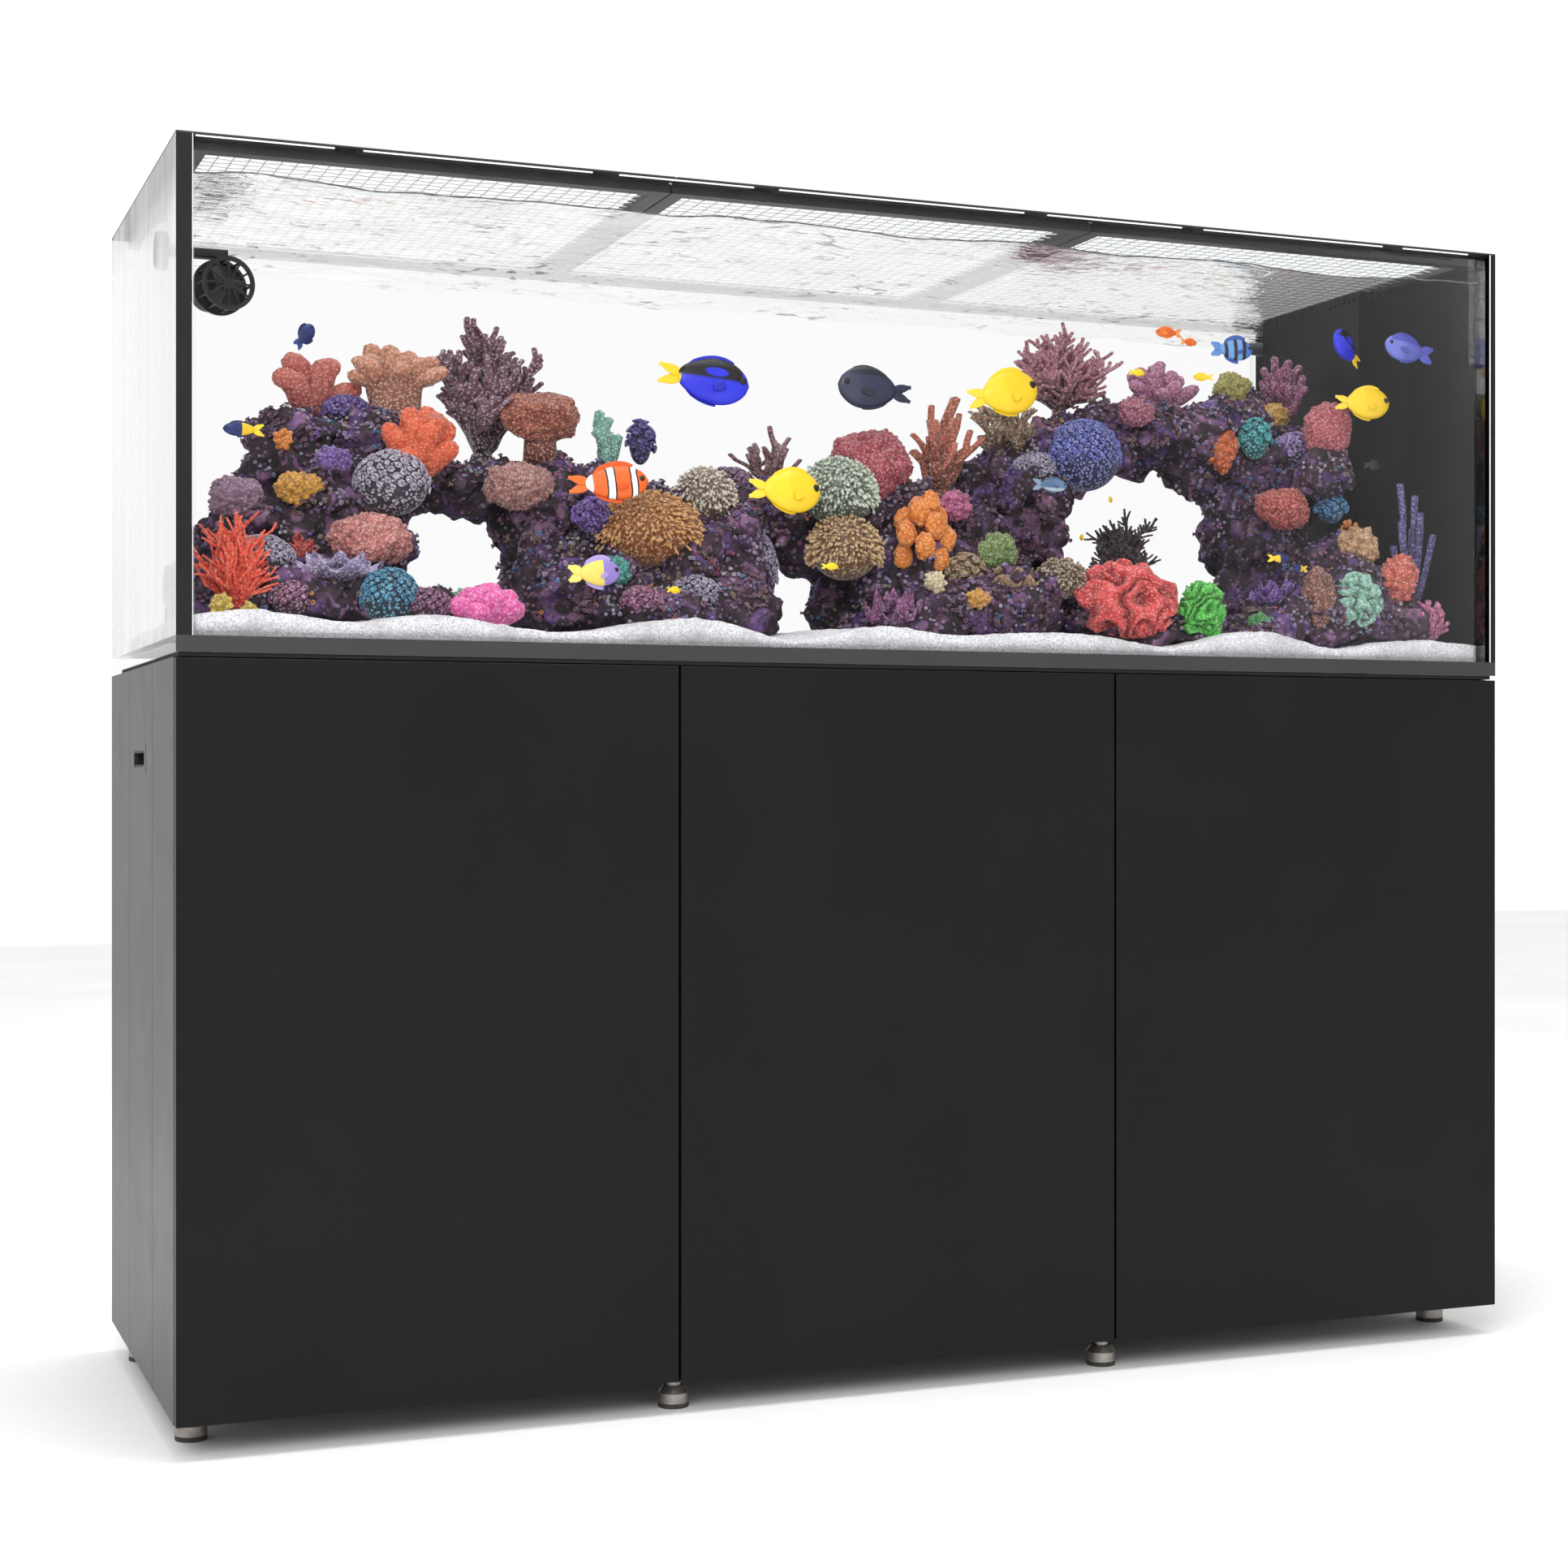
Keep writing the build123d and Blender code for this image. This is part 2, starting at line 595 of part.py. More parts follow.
def protein_skimmer():
    z0 = BAY_FLOOR + SUMP_GLASS
    body = upright(SKIMMER_X, 20, z0, z0 + 330, 75) + upright(SKIMMER_X, 20, z0 + 330, z0 + 400, 42)
    cup = upright(SKIMMER_X, 20, z0 + 400, z0 + 500, 65) + upright(SKIMMER_X, 20, z0 + 500, z0 + 512, 68)
    return body + cup


def return_pump():
    z0 = BAY_FLOOR + SUMP_GLASS
    motor = rounded(block(PUMP_BOX_X - 70, PUMP_BOX_X + 60, -60, 60, z0 + 8, z0 + 110), 10.0)
    volute = upright(PUMP_BOX_X, RETURN_Y - 20, z0 + 110, z0 + 140, 24)
    feet = block(PUMP_BOX_X - 55, PUMP_BOX_X + 45, -50, 50, z0, z0 + 12)
    return motor + volute + feet - upright(PUMP_BOX_X, RETURN_Y - 20, z0 + 125, z0 + 141, RETURN_R + FIT)


def return_pipe():
    z0 = BAY_FLOOR + SUMP_GLASS + 126
    y0 = RETURN_Y - 20
    points = [(PUMP_BOX_X, y0, z0), (PUMP_BOX_X, y0, 640.0), (PIPE_X, RETURN_Y, 640.0),
              (PIPE_X, RETURN_Y, FLOOR_GLASS_TOP - 12)]
    return hollow_pipe(points, RETURN_R)


def drain_pipe_upper():
    return hollow_pipe([(PIPE_X, DRAIN_Y, VALVE_Z + 30), (PIPE_X, DRAIN_Y, FLOOR_GLASS_TOP - 12)], DRAIN_R)


def drain_pipe_lower():
    points = [(PIPE_X, DRAIN_Y, VALVE_Z - 30), (PIPE_X, DRAIN_Y, 560.0), (600.0, DRAIN_Y, 560.0),
              (600.0, DRAIN_Y, 250.0)]
    return hollow_pipe(points, DRAIN_R)


def drain_valve():
    barrel = upright(PIPE_X, DRAIN_Y, VALVE_Z - 42, VALVE_Z + 42, DRAIN_R + 7)
    barrel = barrel - upright(PIPE_X, DRAIN_Y, VALVE_Z + 30, VALVE_Z + 43, DRAIN_R + FIT)
    barrel = barrel - upright(PIPE_X, DRAIN_Y, VALVE_Z - 43, VALVE_Z - 30, DRAIN_R + FIT)
    return barrel + along_y(PIPE_X, DRAIN_Y - 40, DRAIN_Y, VALVE_Z, 10)


def drain_valve_lever():
    y = DRAIN_Y - 40
    cap = along_y(PIPE_X, y - 10.3, y - 0.3, VALVE_Z, 14)
    lever = block(PIPE_X - 9, PIPE_X + 9, y - 9, y - 3, VALVE_Z, VALVE_Z + 85)
    return cap + rounded(lever, 2.0)


# ---------------------------------------------------------------- writing the pieces
PIECES = {
    "glass_base": glass_base(),
    "base_edge_trim": base_edge_trim(),
    "glass_front": glass_front(),
    "glass_rear": glass_rear(),
    "glass_left_end": glass_left_end(),
    "glass_right_end": glass_right_end(),
    "right_end_film": right_end_film(),
    "edge_strips": edge_strips(),
    "silicone_seams": silicone_seams(),
    "levelling_mat": levelling_mat(),
    "overflow_box": overflow_box(),
    "weir_comb": weir_comb(),
    "bulkhead_fittings": bulkhead_fittings(),
    "drain_standpipe": drain_standpipe(),
    "return_riser": return_riser(),
    "return_nozzle": return_nozzle(),
    "pump_holder": pump_holder(),
    "pump_body": pump_body(),
    "pump_cage": pump_cage(),
    "pump_propeller": pump_propeller(),
    "sand_bed": sand_bed(),
    "reef_rock_left": reef_rock_left(),
    "reef_rock_centre": reef_rock_centre(),
    "reef_rock_right": reef_rock_right(),
    "cabinet_side_left": cabinet_side_left(),
    "cabinet_side_right": cabinet_side_right(),
    "cable_port": cable_port(),
    "cabinet_bottom": cabinet_bottom(),
    "cabinet_top": cabinet_top(),
    "cabinet_back": cabinet_back(),
    "cabinet_partition": cabinet_partition(),
    "front_stile": front_stile(),
    "hinge_arms": hinge_arms(),
    "latch_housings": latch_housings(),
    "foot_bodies": foot_bodies(),
    "foot_pads": foot_pads(),
    "sump_tank": sump_tank(),
    "sump_baffles": sump_baffles(),
    "protein_skimmer": protein_skimmer(),
    "sump_return_pump": return_pump(),
    "return_pipe": return_pipe(),
    "drain_pipe_upper": drain_pipe_upper(),
    "drain_pipe_lower": drain_pipe_lower(),
    "drain_valve": drain_valve(),
    "drain_valve_lever": drain_valve_lever(),
}
for number, name in enumerate(LID_NAMES):
    PIECES["lid_frame_" + name] = lid_frame(number)
    PIECES["lid_net_" + name] = lid_net(number)
    PIECES["door_" + name] = door(number)
    PIECES["hinge_cups_" + name] = hinge_cups(number)
    PIECES["latch_plunger_" + name] = latch_plunger(number)

os.makedirs("parts", exist_ok=True)
for name, shape in PIECES.items():
    export_step(shape, "parts/" + name + ".step")
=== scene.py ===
"""Finishes, water, sand, reef and livestock for the reef aquarium on its cabinet.

Metres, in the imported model's own frame: +X right along the front, +Y back, +Z up.
Every shape is worked out on whole arrays; a shell is a dict of vertices "v",
quads "q", triangles "t" and a tone "k" per vertex, 0 at the root and 1 at the tip.
"""

import math

import bpy
import numpy as np
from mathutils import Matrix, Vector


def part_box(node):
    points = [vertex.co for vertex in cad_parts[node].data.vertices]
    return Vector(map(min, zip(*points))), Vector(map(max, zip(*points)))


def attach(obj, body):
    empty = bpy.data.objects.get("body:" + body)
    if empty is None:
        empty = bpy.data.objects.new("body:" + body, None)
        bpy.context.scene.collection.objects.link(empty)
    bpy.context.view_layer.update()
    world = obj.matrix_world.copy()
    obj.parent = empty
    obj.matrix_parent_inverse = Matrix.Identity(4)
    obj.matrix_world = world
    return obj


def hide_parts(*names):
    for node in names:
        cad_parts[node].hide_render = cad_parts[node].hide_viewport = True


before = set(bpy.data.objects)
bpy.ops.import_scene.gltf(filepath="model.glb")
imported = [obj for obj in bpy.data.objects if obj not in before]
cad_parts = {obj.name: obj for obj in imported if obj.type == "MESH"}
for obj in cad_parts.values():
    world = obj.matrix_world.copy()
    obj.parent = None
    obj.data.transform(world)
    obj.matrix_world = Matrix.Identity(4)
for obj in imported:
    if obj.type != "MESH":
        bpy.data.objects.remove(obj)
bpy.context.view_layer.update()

ROOT = "tank_and_cabinet"

# ---------------------------------------------------------------- places read from the frame
FLOOR_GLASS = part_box("glass_base")[1].z
PANE_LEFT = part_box("glass_left_end")[1].x
PANE_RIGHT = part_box("glass_right_end")[0].x
PANE_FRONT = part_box("glass_front")[1].y
PANE_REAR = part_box("glass_rear")[0].y
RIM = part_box("glass_front")[1].z
SAND_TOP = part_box("sand_bed")[1].z
WEIR_LOW, WEIR_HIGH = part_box("overflow_box")
SHEET_GAP = 0.0006
WATER_DROP = 0.040
WATER_Z = RIM - WATER_DROP
ROCK_BURIED = 0.012
CORAL_BURIED = 0.010
GOLDEN_TURN = 2.39996


# ---------------------------------------------------------------- noise
def hashed(cell, seed):
    """Pseudo-random number from 0 to 1 for every whole-number corner, by mixing its three indices."""
    h = cell[..., 0] * 73856093 ^ cell[..., 1] * 19349663 ^ cell[..., 2] * 83492791 ^ (seed * 668265263)
    h = (h ^ (h >> 13)) * 1274126177 & 0x7FFFFFFF
    h = (h ^ (h >> 11)) * 461845907 & 0x7FFFFFFF
    return ((h ^ (h >> 15)) & 0xFFFF) / 65535.0


def soft_noise(points, seed=0):
    """Value noise from -1 to 1: corner values blended with the eased weight 3t^2 - 2t^3 along each axis."""
    cell = np.floor(points).astype(np.int64)
    t = points - cell
    t = t * t * (3 - 2 * t)
    total = np.zeros(points.shape[:-1])
    for corner in np.ndindex(2, 2, 2):
        step = np.array(corner)
        weight = np.prod(np.where(step == 1, t, 1 - t), axis=-1)
        total += weight * hashed(cell + step, seed)
    return 2 * total - 1


def rough_noise(points, octaves=4, seed=0):
    """Sum of soft noise, each octave twice as fine and half as strong as the last."""
    total = np.zeros(points.shape[:-1])
    for i in range(octaves):
        total += soft_noise(points * 2.0 ** i, seed + 17 * i) * 0.5 ** i
    return total


def pit_noise(points, seed=0):
    """Distance to the nearest of one jittered dot per unit cell: 0 on a dot, about 0.9 furthest from all."""
    cell = np.floor(points).astype(np.int64)
    nearest = np.full(points.shape[:-1], 9.0)
    for corner in np.ndindex(3, 3, 3):
        home = cell + np.array(corner) - 1
        dot = home + np.stack([hashed(home, seed + n) for n in (1, 2, 3)], axis=-1)
        nearest = np.minimum(nearest, np.linalg.norm(points - dot, axis=-1))
    return nearest


# ---------------------------------------------------------------- shells
def unit(vectors):
    """Vectors scaled to length one."""
    return vectors / np.maximum(np.linalg.norm(vectors, axis=-1, keepdims=True), 1e-9)


def join(shells):
    """Shells laid side by side in one."""
    shells = list(shells)
    start = np.cumsum([0] + [len(s["v"]) for s in shells[:-1]])
    return {"v": np.concatenate([s["v"] for s in shells]),
            "q": np.concatenate([s["q"] + n for s, n in zip(shells, start)]),
            "t": np.concatenate([s["t"] + n for s, n in zip(shells, start)]),
            "k": np.concatenate([s["k"] for s in shells])}


def capped_rings(rings, start, end, tone):
    """Closed skins from rings (m, k, s, 3): quads round the sides and a fan to a start and an end point each."""
    m, k, s = rings.shape[:3]
    base = np.arange(m)[:, None, None] * (k * s)
    row = np.arange(k - 1)[None, :, None] * s
    col = np.arange(s)[None, None, :]
    nxt = (col + 1) % s
    quads = np.stack(np.broadcast_arrays(base + row + col, base + row + nxt, base + row + s + nxt,
                                         base + row + s + col), axis=-1).reshape(-1, 4)
    first = m * k * s + np.arange(m)[:, None]
    last = first + m
    col = np.arange(s)[None, :]
    nxt = (col + 1) % s
    low = np.arange(m)[:, None] * (k * s)
    high = low + (k - 1) * s
    fans = [np.stack(np.broadcast_arrays(first, low + nxt, low + col), axis=-1).reshape(-1, 3),
            np.stack(np.broadcast_arrays(last, high + col, high + nxt), axis=-1).reshape(-1, 3)]
    verts = np.concatenate([rings.reshape(-1, 3), start.reshape(-1, 3), end.reshape(-1, 3)])
    tones = np.concatenate([np.repeat(tone.reshape(-1), s), tone[:, 0], tone[:, -1]])
    return {"v": verts, "q": quads, "t": np.concatenate(fans), "k": tones}


def tubes(paths, radii, sides=6, tone=None, flat=1.0):
    """Tubes along m paths of k points (m, k, 3): a circle of radii (m, k) set square to each path at each point.
    flat squeezes the circle along its second axis."""
    paths = np.asarray(paths, float)
    if paths.ndim == 2:
        paths = paths[None]
    m, k = paths.shape[:2]
    radii = np.broadcast_to(np.asarray(radii, float), (m, k))
    tone = np.broadcast_to(np.linspace(0, 1, k) if tone is None else tone, (m, k))
    way = unit(np.gradient(paths, axis=1))
    lean = np.where(np.abs(way[:, :1, 2:]) > 0.8, [1.0, 0.13, 0.0], [0.0, 0.13, 1.0])
    across = unit(np.cross(way, np.broadcast_to(lean, way.shape)))
    up = np.cross(way, across)
    turn = np.linspace(0, 2 * np.pi, sides, endpoint=False)
    circle = (across[:, :, None] * np.cos(turn)[:, None] + flat * up[:, :, None] * np.sin(turn)[:, None])
    rings = paths[:, :, None] + circle * radii[:, :, None, None]
    start = paths[:, 0] - way[:, 0] * radii[:, :1] * 0.4
    end = paths[:, -1] + way[:, -1] * radii[:, -1:] * 0.6
    return capped_rings(rings, start, end, tone)


def ball(centre, radii, across=24, up=14):
    """Closed egg: latitude rings of a sphere stretched to three radii, with a point at each pole.
    Tone runs from 0 at the bottom to 1 at the top."""
    lat = np.linspace(-np.pi / 2, np.pi / 2, up + 2)[1:-1]
    lon = np.linspace(0, 2 * np.pi, across, endpoint=False)
    ring = np.stack([np.cos(lat)[:, None] * np.cos(lon), np.cos(lat)[:, None] * np.sin(lon),
                     np.sin(lat)[:, None] + 0 * lon], axis=-1)
    rings = (ring * radii + centre)[None]
    tone = (np.sin(lat)[None] + 1) / 2
    low = np.array(centre, float) - (0, 0, radii[2])
    high = np.array(centre, float) + (0, 0, radii[2])
    return capped_rings(rings, low[None], high[None], tone)


def slab(low, high):
    """Closed box of six quads between two corners."""
    corners = np.array([[x, y, z] for z in (low[2], high[2]) for y in (low[1], high[1])
                        for x in (low[0], high[0])])
    faces = np.array([[0, 2, 3, 1], [4, 5, 7, 6], [0, 1, 5, 4], [2, 6, 7, 3], [0, 4, 6, 2], [1, 3, 7, 5]])
    return {"v": corners, "q": faces, "t": np.zeros((0, 3), int), "k": np.zeros(8)}


def bed(top, x, y, bottom):
    """Closed block under a height field: top[i, j] over x[i], y[j], with skirts down to a flat bottom."""
    gx, gy = np.meshgrid(x, y, indexing="ij")
    upper = np.stack([gx, gy, top], axis=-1).reshape(-1, 3)
    lower = np.stack([gx, gy, np.full_like(top, bottom)], axis=-1).reshape(-1, 3)
    nx, ny = top.shape
    i, j = np.meshgrid(np.arange(nx - 1), np.arange(ny - 1), indexing="ij")
    a = (i * ny + j).reshape(-1)
    n = nx * ny
    face = np.stack([a, a + ny, a + ny + 1, a + 1], axis=-1)
    edge = np.concatenate([np.arange(nx) * ny, (nx - 1) * ny + np.arange(1, ny),
                           (np.arange(nx - 2, -1, -1)) * ny + ny - 1, np.arange(ny - 2, -1, -1)])
    here, there = edge[:-1], edge[1:]
    skirt = np.stack([here, here + n, there + n, there], axis=-1)
    return {"v": np.concatenate([upper, lower]), "q": np.concatenate([face, face[:, ::-1] + n, skirt]),
            "t": np.zeros((0, 3), int), "k": np.repeat([1.0, 0.0], n)}


def make_piece(name, shell, material, body=ROOT, smooth=True):
    """Puts a shell into a mesh object, with its tones as the attribute "tone", and rides it on a body."""
    mesh = bpy.data.meshes.new(name)
    quads, tris = shell["q"], shell["t"]
    corners = np.concatenate([quads.reshape(-1), tris.reshape(-1)]).astype(np.int32)
    sizes = np.concatenate([np.full(len(quads), 4), np.full(len(tris), 3)])
    mesh.vertices.add(len(shell["v"]))
    mesh.vertices.foreach_set("co", np.ascontiguousarray(shell["v"], np.float32).reshape(-1))
    mesh.loops.add(len(corners))
    mesh.loops.foreach_set("vertex_index", corners)
    mesh.polygons.add(len(sizes))
    mesh.polygons.foreach_set("loop_start", (np.cumsum(sizes) - sizes).astype(np.int32))
    mesh.polygons.foreach_set("use_smooth", np.full(len(sizes), smooth))
    tone = mesh.attributes.new("tone", "FLOAT", "POINT")
    tone.data.foreach_set("value", np.ascontiguousarray(shell["k"], np.float32))
    mesh.update(calc_edges=True)
    mesh.validate()
    mesh.materials.append(material)
    made = bpy.data.objects.new(name, mesh)
    bpy.context.scene.collection.objects.link(made)
    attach(made, body)
    return made


# ---------------------------------------------------------------- shader helpers
def add(tree, kind, settings=None, **inputs):
    """New node with its settings and inputs filled in; an input may be a value or another node's output."""
    made = tree.nodes.new(kind)
    for key, value in (settings or {}).items():
        setattr(made, key, value)
    for key, value in inputs.items():
        numbered = key[0] == "i" and key[1:].isdigit()
        socket = made.inputs[int(key[1:]) if numbered else key.replace("_", " ")]
        if isinstance(value, bpy.types.NodeSocket):
            tree.links.new(value, socket)
        else:
            socket.default_value = value
    return made


def remap(tree, value, low=0.0, high=1.0, to_low=0.0, to_high=1.0):
    """Node that stretches the run from low to high over the run from to_low to to_high, and stops at both ends."""
    return add(tree, "ShaderNodeMapRange", Value=value, From_Min=low, From_Max=high, To_Min=to_low, To_Max=to_high)


def mixed(tree, share, first, second):
    """Node that blends two colours by a share; its colour is output 2."""
    return add(tree, "ShaderNodeMix", {"data_type": "RGBA"}, Factor=share, i6=first, i7=second)


def sums(tree, operation, first, second, third=0.5):
    """Arithmetic node on two or three numbers."""
    return add(tree, "ShaderNodeMath", {"operation": operation}, i0=first, i1=second, i2=third)


def rgb(code):
    """Linear colour with alpha 1 from a six-digit sRGB code."""
    parts = [int(code[i:i + 2], 16) / 255 for i in (0, 2, 4)]
    return tuple(c / 12.92 if c <= 0.04045 else ((c + 0.055) / 1.055) ** 2.4 for c in parts) + (1.0,)


def new_group(name, inputs, outputs):
    """Empty effect group with float or colour sockets, and its entry and exit nodes."""
    tree = bpy.data.node_groups.new(name, "ShaderNodeTree")
    for label, value in inputs.items():
        kind = "NodeSocketFloat" if isinstance(value, float) else "NodeSocketColor"
        tree.interface.new_socket(label, in_out="INPUT", socket_type=kind).default_value = value
    for label, kind in outputs.items():
        tree.interface.new_socket(label, in_out="OUTPUT", socket_type=kind)
    return tree, tree.nodes.new("NodeGroupInput"), tree.nodes.new("NodeGroupOutput")


def scaled_place(tree, scale):
    """Object coordinates times a scale."""
    place = add(tree, "ShaderNodeTexCoord").outputs["Object"]
    return add(tree, "ShaderNodeVectorMath", {"operation": "SCALE"}, i0=place, Scale=scale).outputs[0]


def make_mottle_group():
    """Two colours mixed by cloudy noise, with a finer layer that darkens and lightens them."""
    tree, entry, leave = new_group(
        "mottle", {"First": (1, 1, 1, 1), "Second": (0, 0, 0, 1), "Size": 40.0, "Fine": 300.0, "Depth": 0.3},
        {"Color": "NodeSocketColor", "Mask": "NodeSocketFloat"})
    wide = add(tree, "ShaderNodeTexNoise", Vector=scaled_place(tree, entry.outputs["Size"]), Scale=1.0, Detail=4.0)
    fine = add(tree, "ShaderNodeTexNoise", Vector=scaled_place(tree, entry.outputs["Fine"]), Scale=1.0, Detail=2.0)
    mask = remap(tree, wide.outputs["Fac"], 0.38, 0.62)
    both = mixed(tree, mask.outputs[0], entry.outputs["First"], entry.outputs["Second"])
    speck = remap(tree, fine.outputs["Fac"], 0.3, 0.7, -1.0)
    swing = sums(tree, "MULTIPLY_ADD", speck.outputs[0], entry.outputs["Depth"], 1.0)
    shade = add(tree, "ShaderNodeVectorMath", {"operation": "SCALE"}, i0=both.outputs[2], Scale=swing.outputs[0])
    tree.links.new(shade.outputs[0], leave.inputs["Color"])
    tree.links.new(mask.outputs[0], leave.inputs["Mask"])
    return tree


def make_grain_group():
    """Fine surface grain: a height for bump, and a roughness that wanders round a middle value."""
    tree, entry, leave = new_group("grain", {"Size": 900.0, "Rough": 0.4, "Swing": 0.08, "Smudge": 9.0},
                                   {"Height": "NodeSocketFloat", "Roughness": "NodeSocketFloat"})
    fine = add(tree, "ShaderNodeTexNoise", Vector=scaled_place(tree, entry.outputs["Size"]), Scale=1.0, Detail=3.0)
    wide = add(tree, "ShaderNodeTexNoise", Vector=scaled_place(tree, entry.outputs["Smudge"]), Scale=1.0,
               Detail=5.0, Distortion=0.8)
    middle = sums(tree, "SUBTRACT", wide.outputs["Fac"], 0.5)
    rough = sums(tree, "MULTIPLY_ADD", middle.outputs[0], entry.outputs["Swing"], entry.outputs["Rough"])
    tree.links.new(fine.outputs["Fac"], leave.inputs["Height"])
    tree.links.new(rough.outputs[0], leave.inputs["Roughness"])
    return tree


def make_stripe_group():
    """Fine level lines round the object: noise stretched along x and y and squeezed along z, as a height."""
    tree, entry, leave = new_group("brushed_lines", {"Along": 30.0, "Across": 2500.0},
                                   {"Height": "NodeSocketFloat"})
    place = add(tree, "ShaderNodeTexCoord").outputs["Object"]
    split = add(tree, "ShaderNodeSeparateXYZ", Vector=place)
    turned = sums(tree, "MULTIPLY", split.outputs["Z"], entry.outputs["Across"])
    long_x = sums(tree, "MULTIPLY", split.outputs["X"], entry.outputs["Along"])
    long_y = sums(tree, "MULTIPLY", split.outputs["Y"], entry.outputs["Along"])
    vector = add(tree, "ShaderNodeCombineXYZ", X=long_x.outputs[0], Y=long_y.outputs[0], Z=turned.outputs[0])
    noise = add(tree, "ShaderNodeTexNoise", Vector=vector.outputs[0], Scale=1.0, Detail=2.0)
    tree.links.new(noise.outputs["Fac"], leave.inputs["Height"])
    return tree


MOTTLE = make_mottle_group()
GRAIN = make_grain_group()
BRUSHED = make_stripe_group()


def use_group(tree, group, **inputs):
    """An effect group placed in a material with its own values."""
    return add(tree, "ShaderNodeGroup", {"node_tree": group}, **inputs)


def blank_material(name):
    """Material with an empty tree and its output node."""
    made = bpy.data.materials.new(name)
    made.use_nodes = True
    made.node_tree.nodes.clear()
    return made, made.node_tree, made.node_tree.nodes.new("ShaderNodeOutputMaterial")


def moulded(name, first, second, rough, bump=0.0004, size=40.0, fine=600.0, depth=0.15, metallic=0.0,
            shine=0.5, swing=0.1, lines=False):
    """Solid finish: mottled colour, wandering roughness and a fine grained or brushed surface."""
    made, tree, leave = blank_material(name)
    colour = use_group(tree, MOTTLE, First=rgb(first), Second=rgb(second), Size=size, Fine=fine, Depth=depth)
    grain = use_group(tree, GRAIN, Size=fine, Rough=rough, Swing=swing)
    height = use_group(tree, BRUSHED).outputs["Height"] if lines else grain.outputs["Height"]
    normal = add(tree, "ShaderNodeBump", Height=height, Distance=bump, Strength=0.6)
    surface = add(tree, "ShaderNodeBsdfPrincipled", Base_Color=colour.outputs["Color"],
                  Roughness=grain.outputs["Roughness"], Normal=normal.outputs[0], Metallic=metallic,
                  Specular_IOR_Level=shine)
    tree.links.new(surface.outputs[0], leave.inputs["Surface"])
    return made


def pane_glass(name, tint, least, most, rough=0.0, streaks=0.0):
    """Thin clear pane: see-through, with a mirror layer that strengthens from least to most at a slant; streaks
    make the mirror share wander in upright runs."""
    made, tree, leave = blank_material(name)
    slant = add(tree, "ShaderNodeLayerWeight", Blend=0.35)
    upright = add(tree, "ShaderNodeVectorMath", {"operation": "MULTIPLY"}, i0=scaled_place(tree, 3.0),
                  i1=(1.0 + 9.0 * streaks, 1.0 + 9.0 * streaks, 1.0))
    haze = add(tree, "ShaderNodeTexNoise", Vector=upright.outputs[0], Scale=1.0, Detail=3.0)
    share = remap(tree, slant.outputs["Fresnel"], 0.06, 0.9, least, most)
    uneven = remap(tree, haze.outputs["Fac"], 0.3, 0.7, 0.95 - 0.25 * streaks, 1.05 + 0.1 * streaks)
    share = add(tree, "ShaderNodeMath", {"operation": "MULTIPLY", "use_clamp": True}, i0=share.outputs[0],
                i1=uneven.outputs[0])
    clear = add(tree, "ShaderNodeBsdfTransparent", Color=rgb(tint))
    mirror = add(tree, "ShaderNodeBsdfGlossy", Color=(1, 1, 1, 1), Roughness=rough)
    surface = add(tree, "ShaderNodeMixShader", i0=share.outputs[0], i1=clear.outputs[0], i2=mirror.outputs[0])
    tree.links.new(surface.outputs[0], leave.inputs["Surface"])
    return made


def coral_skin(name, root, tip, speck, bump=0.0018, size=230.0, rough=0.55, painted_glow=0.05):
    """Living tissue: root colour to tip colour along the tone, with small polyp dots and a velvety edge; darker away
    from the dots as painted shade in the gaps, and a faint glow in its own colour as painted light.
    """
    made, tree, leave = blank_material(name)
    tone = add(tree, "ShaderNodeAttribute", {"attribute_name": "tone"}).outputs["Fac"]
    patch = add(tree, "ShaderNodeTexNoise", Vector=scaled_place(tree, size / 3), Scale=1.0, Detail=3.0)
    bent = sums(tree, "MULTIPLY_ADD", patch.outputs["Fac"], 0.5, tone)
    step = remap(tree, bent.outputs[0], 0.35, 1.15)
    body = mixed(tree, step.outputs[0], rgb(root), rgb(tip))
    dots = add(tree, "ShaderNodeTexVoronoi", Vector=scaled_place(tree, size), Scale=1.0)
    dot = remap(tree, dots.outputs["Distance"], 0.22, 0.50, 1.0, 0.0)
    share = sums(tree, "MULTIPLY", dot.outputs[0], 0.62)
    colour = mixed(tree, share.outputs[0], body.outputs[2], rgb(speck))
    # Darker away from the raised dots: painted shade in the low gaps between the polyps.
    gap = remap(tree, dots.outputs["Distance"], 0.45, 0.85, 1.0, 0.55)
    skin = add(tree, "ShaderNodeVectorMath", {"operation": "SCALE"}, i0=colour.outputs[2], Scale=gap.outputs[0])
    normal = add(tree, "ShaderNodeBump", Height=dot.outputs[0], Distance=bump, Strength=0.9)
    # The emission is a faint glow in the skin's own colour: painted light, as coral is no lamp.
    surface = add(tree, "ShaderNodeBsdfPrincipled", Base_Color=skin.outputs[0], Roughness=rough,
                  Normal=normal.outputs[0], Sheen_Weight=0.25, Emission_Color=skin.outputs[0],
                  Emission_Strength=painted_glow)
    tree.links.new(surface.outputs[0], leave.inputs["Surface"])
    return made


# ---------------------------------------------------------------- room, lights and camera
def make_stage():
    """Plain pale floor, far wider than the object."""
    floor = bpy.data.meshes.new("floor")
    reach = 9.0
    floor.from_pydata([(-reach, -reach, 0), (reach, -reach, 0), (reach, reach, 0), (-reach, reach, 0)], [],
                      [(0, 1, 2, 3)])
    floor.materials.append(moulded("floor_paper", "F4F4F3", "EFEFEE", 0.75, bump=0.0002, size=1.5, fine=60,
                                   depth=0.01))
    placed = bpy.data.objects.new("floor", floor)
    bpy.context.scene.collection.objects.link(placed)


